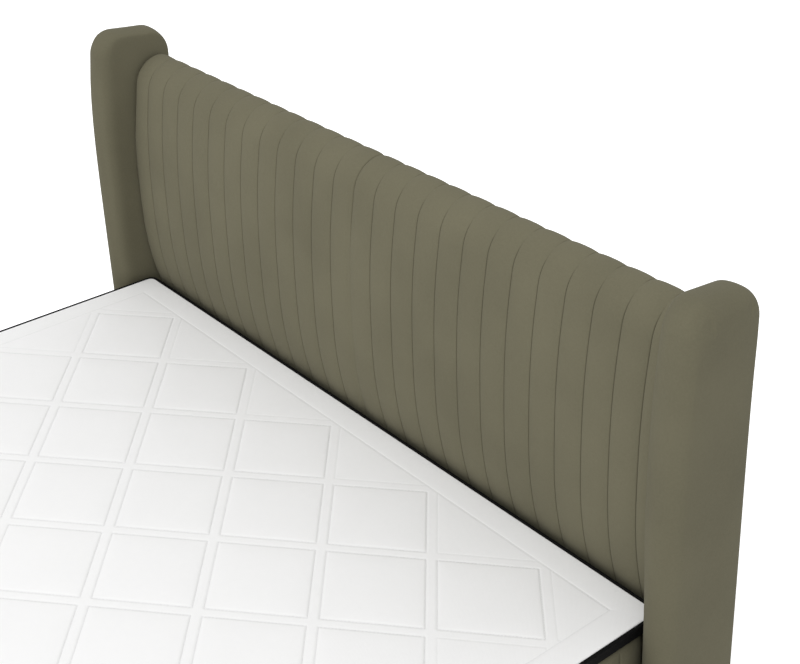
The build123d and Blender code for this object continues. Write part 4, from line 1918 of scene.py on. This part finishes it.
@dataclass
class Layer:
    """A flat layer that fills a node's box, such as cut foam or a stretched cover."""

    node: str
    name: str
    corner: float
    finish: Finish
    edge_round: float = 3.0 * MM
    drawn_in: float = 0.0
    spacing: float = 24.0 * MM
    edge_steps: int = 3
    face_rows: int = 14
    bunching: float = 1.6
    least_corner: float = 2.0 * MM
    half_slit: float = 4.0 * MM

    def __post_init__(self) -> None:
        """Reads the box that the layer fills."""
        x, y, self.z = spans_of(self.node)
        self.outline = Rectangle(x, y, self.corner).drawn_in(self.drawn_in, self.corner)

    def shape(self) -> Piece:
        """Makes the layer's closed mesh.

        Returns:
            The mesh piece, not yet dressed.
        """
        rim = []
        for start, end in self.outline.sides():
            count = round(float(np.linalg.norm(end - start)) / self.spacing)
            even = np.linspace(0.0, 1.0, count + 1)[:-1]
            bunched = (1 - np.cos(math.pi * even)) / 2
            rim.append(start + (end - start) * ((even + bunched) / 2)[:, None])
        rim = np.concatenate(rim)
        low, high = self.z
        edge = min(self.edge_round, (high - low) / 2)
        turns = quarter_turn(self.edge_steps)
        reach = float(self.outline.half.min()) - self.half_slit - edge
        flat = np.linspace(0.0, 1.0, self.face_rows + 1)[1:] ** self.bunching * reach + edge
        insets = np.concatenate([edge * (1 - np.cos(turns)), flat])
        drops = np.pad(edge * (1 - np.sin(turns)), (0, len(flat)))
        lower = [*zip(insets, low + drops)][::-1]
        loops = []
        for inset, height in lower + [*zip(insets, high - drops)]:
            corner = max(self.corner - inset, min(self.corner, self.least_corner))
            ring = self.outline.drawn_in(inset, corner)
            loops.append(ring.ring(rim, self.outline, height))
        piece = tube_piece(self.name, loops)
        points = points_of(piece)
        set_surface(piece, points[:, 0], points[:, 1])
        return piece

    def build(self, body: Body, fill: float = 1.0) -> None:
        """Builds the layer as a piece of a body."""
        settle(self.shape(), body, self.finish, [self.node])

    def build_sheet(self, body: Body) -> None:
        """Builds the layer, a thin sheet of cloth, as a piece of a body."""
        piece = settle(self.shape(), body, self.finish, [self.node])


def cord_round(name: str, path: Array, radius: float, finish: Finish, body: Body) -> None:
    """Sews a piping cord along a closed path.

    Args:
        name: The piece's name.
        path: The path's points.
        radius: The cord's radius.
        finish: What its cover is made of.
        body: What it moves with.
    """
    edges = [(k, (k + 1) % len(path)) for k in range(len(path))]
    piece = make_piece(name, path, edges=edges)
    grown(piece, piped_edge(), finish, {"Radius": radius})
    settle(piece, body, finish)


@dataclass
class SpringUnit:
    """Rows of pocket springs, each sewn into its own barrel of cloth."""

    node: str
    body: Body
    pitch: float = 65.5 * MM
    pinch: float = 0.28
    play: float = 0.4 * MM

    def build(self) -> None:
        """Builds the unit in place of its node."""
        low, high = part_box(self.node)
        size = high - low
        across, along = int(size.x / self.pitch), int(size.y / self.pitch)
        step_x, step_y, middle = size.x / across, size.y / along, (low.z + high.z) / 2
        places = [
            (low.x + step_x * (i + 0.5), low.y + step_y * (j + 0.5), middle)
            for i in range(across)
            for j in range(along)
        ]
        piece = make_piece(f"{self.node}_pockets", places)
        radius = min(step_x, step_y) / 2 - self.play
        sizes = {"Radius": radius, "Height": size.z - self.play, "Pinch": self.pinch}
        grown(piece, pocket_rows(), POCKET, sizes)
        settle(piece, self.body, POCKET, [self.node])


# Sub-assemblies


@dataclass
class Topper:
    """The loose quilted topper with its black band."""

    plan: BedPlan
    corner: float = 14.0 * MM
    drawn_in: float = 0.5 * MM
    band_reach: tuple[float, float] = (4.5 * MM, 11.0 * MM)
    band_roll: float = 5.0 * MM
    band_taper: float = 10.0 * MM
    band_lap: float = 3.0 * MM
    seam_drop: float = 1.5 * MM
    cord: float = 3.7 * MM
    cord_reach: float = 1.1
    cord_drop: float = 0.75

    def build(self) -> None:
        """Builds the cover, its stitching, the band, the core and the underside."""
        plan, inward = self.plan, self.drawn_in
        across, along = (-plan.half_width, plan.half_width), (plan.foot_y, plan.head_y)
        edge = Rectangle(across, along, self.corner).drawn_in(inward, self.corner)
        low, high = spans_of("topper_foam_core")[2]
        level = plan.topper_top
        cover = QuiltedPanel(
            "topper_quilted_cover", Body.TOPPER, "topper_top_cover", edge, high, level, WHITE
        )
        cover.build()
        cover.stitching()
        x, y = (
            (span[0] - reach, span[1] + reach)
            for span, reach in zip((edge.x, edge.y), self.band_reach)
        )
        band = Band(
            "topper_mesh_band",
            Body.TOPPER,
            ["topper_side_band"],
            Rectangle(x, y, self.corner + self.band_reach[0]),
            edge.drawn_in(self.band_taper - self.band_lap),
            (low, level - self.seam_drop),
            BLACK_MESH,
            fill=0.8,
            roll=self.band_roll,
            face_rows=8,
            plain_spacing=20.0 * MM,
            taper=self.band_taper,
            channelled=(False, False, False, False),
        )
        band.build()
        core = Layer("topper_foam_core", "topper_core", 4 * MM, FOAM, drawn_in=inward + 4 * MM)
        core.build(Body.TOPPER)
        under = Layer(
            "topper_base_cover",
            "topper_underside",
            self.corner,
            TICKING,
            edge_round=0.8 * MM,
            drawn_in=inward + 9 * MM,
        )
        under.build_sheet(Body.TOPPER)
        path = edge.drawn_in(-self.cord * self.cord_reach)
        path = path.loop(level - self.cord * self.cord_drop)
        cord_round("topper_seam_cord", path, self.cord, BLACK_MESH, Body.TOPPER)


@dataclass
class Mattress:
    """The loose pocket sprung mattress with its channelled border."""

    corner: float = 45.0 * MM
    piping: float = 1.8 * MM
    top_roll: float = 12.0 * MM
    quilt_thickness: float = 4.0 * MM
    foam_corner: float = 30.0 * MM

    def build(self) -> None:
        """Builds the border, its piping, the covers and the layers inside."""
        outer_x, outer_y, outer_z = spans_of("mattress_border")
        top_x, top_y, top_z = spans_of("mattress_top_cover")
        inner_x, inner_y, _ = spans_of("mattress_base_pad")
        outline = Rectangle(outer_x, outer_y, self.corner)
        border = Band(
            "mattress_channelled_border",
            Body.MATTRESS,
            ["mattress_border"],
            outline.drawn_in(BORDER_CHANNELS.crown, self.corner),
            Rectangle(inner_x, inner_y, 0.0),
            (outer_z[0], top_z[1]),
            OLIVE,
            roll=self.top_roll,
        )
        border.build()
        under = Layer(
            "mattress_base_cover",
            "mattress_underside",
            self.corner,
            TICKING,
            edge_round=1.8 * MM,
            drawn_in=8.0 * MM,
        )
        under.build(Body.MATTRESS, fill=0.5)
        lower = Rectangle(top_x, top_y, self.corner)
        upper = lower.drawn_in(self.top_roll)
        for word, edge, z in (("upper", upper, top_z[0]), ("lower", lower, under.z[1])):
            name = f"mattress_{word}_piping"
            cord_round(name, edge.loop(z), self.piping, OLIVE, Body.MATTRESS)
        panel = QuiltedPanel(
            "mattress_quilted_top",
            Body.MATTRESS,
            "mattress_top_cover",
            upper,
            top_z[0],
            top_z[0] + self.quilt_thickness,
            TICKING,
            half_across=110 * MM,
            half_along=110 * MM,
            border=50 * MM,
            half_band=0.0,
            crease=2.0 * MM,
            border_crown=1.5 * MM,
            edge_round=2.5 * MM,
        )
        panel.build()
        for node, place in (("base_pad", "base"), ("comfort_layer", "comfort")):
            foam = Layer(f"mattress_{node}", f"mattress_{place}_foam", self.foam_corner, FOAM)
            foam.build(Body.MATTRESS)
        for side in Side:
            SpringUnit(f"{side.word}_mattress_springs", Body.MATTRESS).build()


@dataclass
class SprungBox:
    """One of the two sprung boxes that carry the mattress."""

    side: Side
    middle_gap: float = 0.3 * MM
    head_gap: float = 1.0 * MM
    corner: float = 18.0 * MM
    rim: float = 3.0 * MM

    def build(self) -> None:
        """Builds the border, top, pad, springs and dust cover."""
        start, sign = f"{self.side.word}_box", self.side.value
        side_x, side_y, side_z = spans_of(f"{start}_side_border")
        core_x, core_y, _ = spans_of(f"{start}_deck")
        crown = BORDER_CHANNELS.crown
        outer = max(side_x, key=abs) - sign * crown
        x = tuple(sorted((sign * self.middle_gap, outer)))
        y = (side_y[0] + crown, side_y[1] - self.head_gap)
        border = Band(
            f"{start}_channelled_border",
            Body.BASE,
            [f"{start}_{way}_border" for way in ("side", "foot", "inner", "head")],
            Rectangle(x, y, self.corner),
            Rectangle(core_x, core_y, 0.0),
            side_z,
            OLIVE,
            channelled=(sign > 0, False, sign < 0, True),
        )
        border.build()
        top = Layer(
            f"{start}_top_cover", f"{start}_grip_cover", self.corner, GRIP, edge_round=1.9 * MM
        )
        top.build(Body.BASE, fill=0.6)
        path = top.outline.loop(top.z[0])
        cord_round(f"{start}_upper_piping", path, self.rim, OLIVE, Body.BASE)
        Layer(f"{start}_pad", f"{start}_foam", 4 * MM, FOAM).build(Body.BASE)
        SpringUnit(f"{start}_springs", Body.BASE).build()
        dust = Layer(
            f"{start}_dust_cover", f"{start}_dust_cloth", self.corner, DUST, edge_round=0.6 * MM
        )
        dust.build_sheet(Body.BASE)


@dataclass
class Headboard:
    """The back, lower pad and covers between the wings, behind the cushions."""

    lip: float = 2.5 * MM
    fold: float = 24.0 * MM
    cloth: float = 0.2 * MM
    pad_round: float = 9.0 * MM
    turn_steps: int = 5

    def drawn_across(self, name: str, outline: Sequence, x: Span, count: int) -> Piece:
        """Draws a side view out across the bed into a closed piece.

        Args:
            name: The piece's name.
            outline: Y and Z of the view's points.
            x: Where it starts and ends across the bed.
            count: How many slices it has.

        Returns:
            The mesh piece, not yet dressed.
        """
        outline = np.array(outline)
        stations = np.linspace(*x, count)
        loops = [np.column_stack([np.full(len(outline), place), outline]) for place in stations]
        piece = tube_piece(name, loops)
        points = points_of(piece)
        set_surface(piece, points[:, 0], points[:, 2])
        return piece

    def back_cover(self) -> None:
        """Builds the cover on the back, folded over the frame's top edge."""
        low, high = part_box("headboard_back_cover")
        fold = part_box("headboard_frame")[0].y + self.fold
        inner, outer, top = low.y, high.y, high.z
        turns = quarter_turn(self.turn_steps)[1:]
        heights = np.linspace(low.z, top, 40)
        outline = [(outer, z) for z in heights]
        for t in turns:
            outline.append((inner + (outer - inner) * math.cos(t), top + self.lip * math.sin(t)))
        outline += [(y, top + self.lip) for y in np.linspace(inner, fold, 4)[1:]]
        outline += [(y, top + self.cloth) for y in (fold, inner)]
        outline += [(inner, z) for z in heights[::-1]]
        piece = self.drawn_across("headboard_stretched_back", outline, (low.x, high.x), 60)
        settle(piece, Body.BASE, OLIVE, ["headboard_back_cover"])

    def lower_pad(self) -> None:
        """Builds the pad over the lower frame's front and top."""
        low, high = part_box("headboard_lower_pad")
        frame_low, frame_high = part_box("headboard_lower_frame")
        r = self.pad_round
        turns = math.pi - quarter_turn(self.turn_steps)[1:]
        outline = [(low.y, z) for z in np.linspace(low.z, high.z - r, 24)]
        outline += arc((low.y + r, high.z - r), r, turns).tolist()
        outline += [(y, high.z) for y in np.linspace(low.y + r, high.y, 8)[1:]]
        outline += [(y, frame_high.z) for y in (high.y, frame_low.y)]
        outline += [(frame_low.y, z) for z in np.linspace(frame_high.z, low.z, 24)[1:]]
        piece = self.drawn_across("headboard_lower_padding", outline, (low.x, high.x), 50)
        settle(piece, Body.BASE, OLIVE, ["headboard_lower_pad"])

    def build(self) -> None:
        """Builds the back cover, lower pad and dust cloth."""
        self.back_cover()
        self.lower_pad()
        dust = Layer(
            "headboard_dust_cover", "headboard_dust_cloth", 2 * MM, DUST, edge_round=0.6 * MM
        )
        dust.build_sheet(Body.BASE)


@dataclass(frozen=True)
class Construction:
    """The timber, board, steel and plastic parts, which keep their own shape."""

    shared: tuple[tuple[str, Finish], ...] = (
        ("headboard_frame", TIMBER_UPRIGHT),
        ("headboard_lower_frame", TIMBER_ACROSS),
        ("headboard_lower_board", BOARD),
        ("headboard_bolts", ZINC),
        ("wing_bolts", ZINC),
        ("wing_glides", PLASTIC),
        ("box_connectors", ZINC),
    )
    paired: tuple[tuple[str, Finish], ...] = (
        ("box_frame", TIMBER_ALONG),
        ("box_deck", BOARD),
        ("box_feet", PLASTIC),
        ("box_foot_plates", ZINC),
        ("cushion_board", BOARD),
        ("wing_core", TIMBER_UPRIGHT),
    )

    def dress(self) -> None:
        """Gives each part that stays the material of its slot."""
        paired = [(f"{side.word}_{name}", finish) for side in Side for name, finish in self.paired]
        for name, finish in (*self.shared, *paired):
            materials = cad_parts[name].data.materials
            materials.clear()
            materials.append(material_of(finish))


# Studio


def gaze(turn: float, fall: float) -> Vector:
    """A direction along Y, turned to the left and tipped down."""
    level = math.cos(fall)
    return Vector((-math.sin(turn) * level, math.cos(turn) * level, -math.sin(fall)))


@dataclass(frozen=True)
class Studio:
    """The camera, lamps, floor and world."""

    eye: tuple[float, float, float] = (2.28777, -0.69777, 2.39347)
    yaw: float = 0.86307
    pitch: float = 0.45063
    roll: float = -0.01962
    sensor: float = 36.0
    lens: float = 66.315
    shift: tuple[float, float] = (-0.08, -0.125)
    clip: Span = (0.05, 200.0)
    sky: float = 0.81
    key_power: float = 465.0
    key_height: float = 1.0
    key_turn: float = 0.5
    key_distance: float = 11.0
    key_width: float = 7.6
    floor_size: float = 60.0
    floor_tone: float = 0.85
    floor_glow: float = 0.6

    def place_camera(self) -> None:
        """Sets the camera where the photograph was taken from."""
        data = bpy.data.cameras.new("studio_camera")
        data.sensor_width, data.lens = self.sensor, self.lens
        data.shift_x, data.shift_y = self.shift
        data.clip_start, data.clip_end = self.clip
        ahead = gaze(self.yaw, self.pitch)
        level = Vector((math.cos(self.yaw), math.sin(self.yaw), 0.0))
        above = level.cross(ahead)
        right = level * math.cos(self.roll) + above * math.sin(self.roll)
        up = above * math.cos(self.roll) - level * math.sin(self.roll)
        camera = placed("studio_camera", data)
        turn = Matrix((right, up, -ahead)).transposed().to_4x4()
        camera.matrix_world = Matrix.Translation(self.eye) @ turn
        bpy.context.scene.camera = camera

    def light(self) -> None:
        """Adds a soft key lamp and an even sky that the camera sees as white."""
        data = bpy.data.lights.new("key", "AREA")
        data.energy, data.size = self.key_power, self.key_width
        lamp = placed("key", data)
        towards = -gaze(self.key_turn, self.key_height)
        turn = towards.to_track_quat("Z", "Y").to_matrix().to_4x4()
        lamp.matrix_world = Matrix.Translation(towards * self.key_distance) @ turn
        lamp.visible_camera = False
        world = bpy.data.worlds.new("sky")
        world.use_nodes = True
        bpy.context.scene.world = world
        graph = Graph(world.node_tree)
        shader = world.node_tree.nodes["Background"]
        shader.inputs["Color"].default_value = (1.0, 1.0, 1.0, 1.0)
        strength = graph.remap(self.seen_directly(graph), 0.0, 1.0, self.sky, 1.0)
        graph.feed(shader.inputs["Strength"], strength)

    def seen_directly(self, graph: Graph) -> Flow:
        """Tells a look from light that falls on something.

        Args:
            graph: The tree of a material or the world.

        Returns:
            1 where the camera, a reflection or glass looks at it, and 0 for its light.
        """
        path = graph.add("ShaderNodeLightPath")
        names = ("Is Camera Ray", "Is Glossy Ray", "Is Transmission Ray")
        first, second, third = (graph.out(path, name) for name in names)
        return graph.math("MINIMUM", first + second + third, 1.0)

    def lay_floor(self) -> None:
        """Lays a pale floor that clips to white and keeps the bed's shadow."""
        reach = self.floor_size / 2
        corners = [(-reach, -reach, 0), (reach, -reach, 0), (reach, reach, 0), (-reach, reach, 0)]
        piece = make_piece("studio_floor", corners, [range(4)])
        paint = Coat("studio_floor_paint", (self.floor_tone,) * 3, 1.0)
        looks = {"Specular IOR Level": 0.0, "Emission Color": (1.0, 1.0, 1.0, 1.0)}
        glow = self.seen_directly(paint) * self.floor_glow
        paint.wear({**looks, "Emission Strength": glow})
        piece.data.materials.append(paint.material)

    def build(self) -> None:
        """Sets up the whole studio."""
        bpy.context.scene.view_settings.view_transform = "Standard"
        self.place_camera()
        self.light()
        self.lay_floor()


def main() -> None:
    """Builds the bed's sub-assemblies in order, then the studio."""
    logging.basicConfig(level=logging.INFO, format="%(message)s")
    plan = BedPlan.from_construction()
    Construction().dress()
    for side in Side:
        SprungBox(side).build()
    Mattress().build()
    Topper(plan).build()
    Headboard().build()
    for side in Side:
        HeadboardCushion(plan, side).build()
        Wing(plan, side).build()
    Studio().build()


if __name__ == "__main__":
    main()
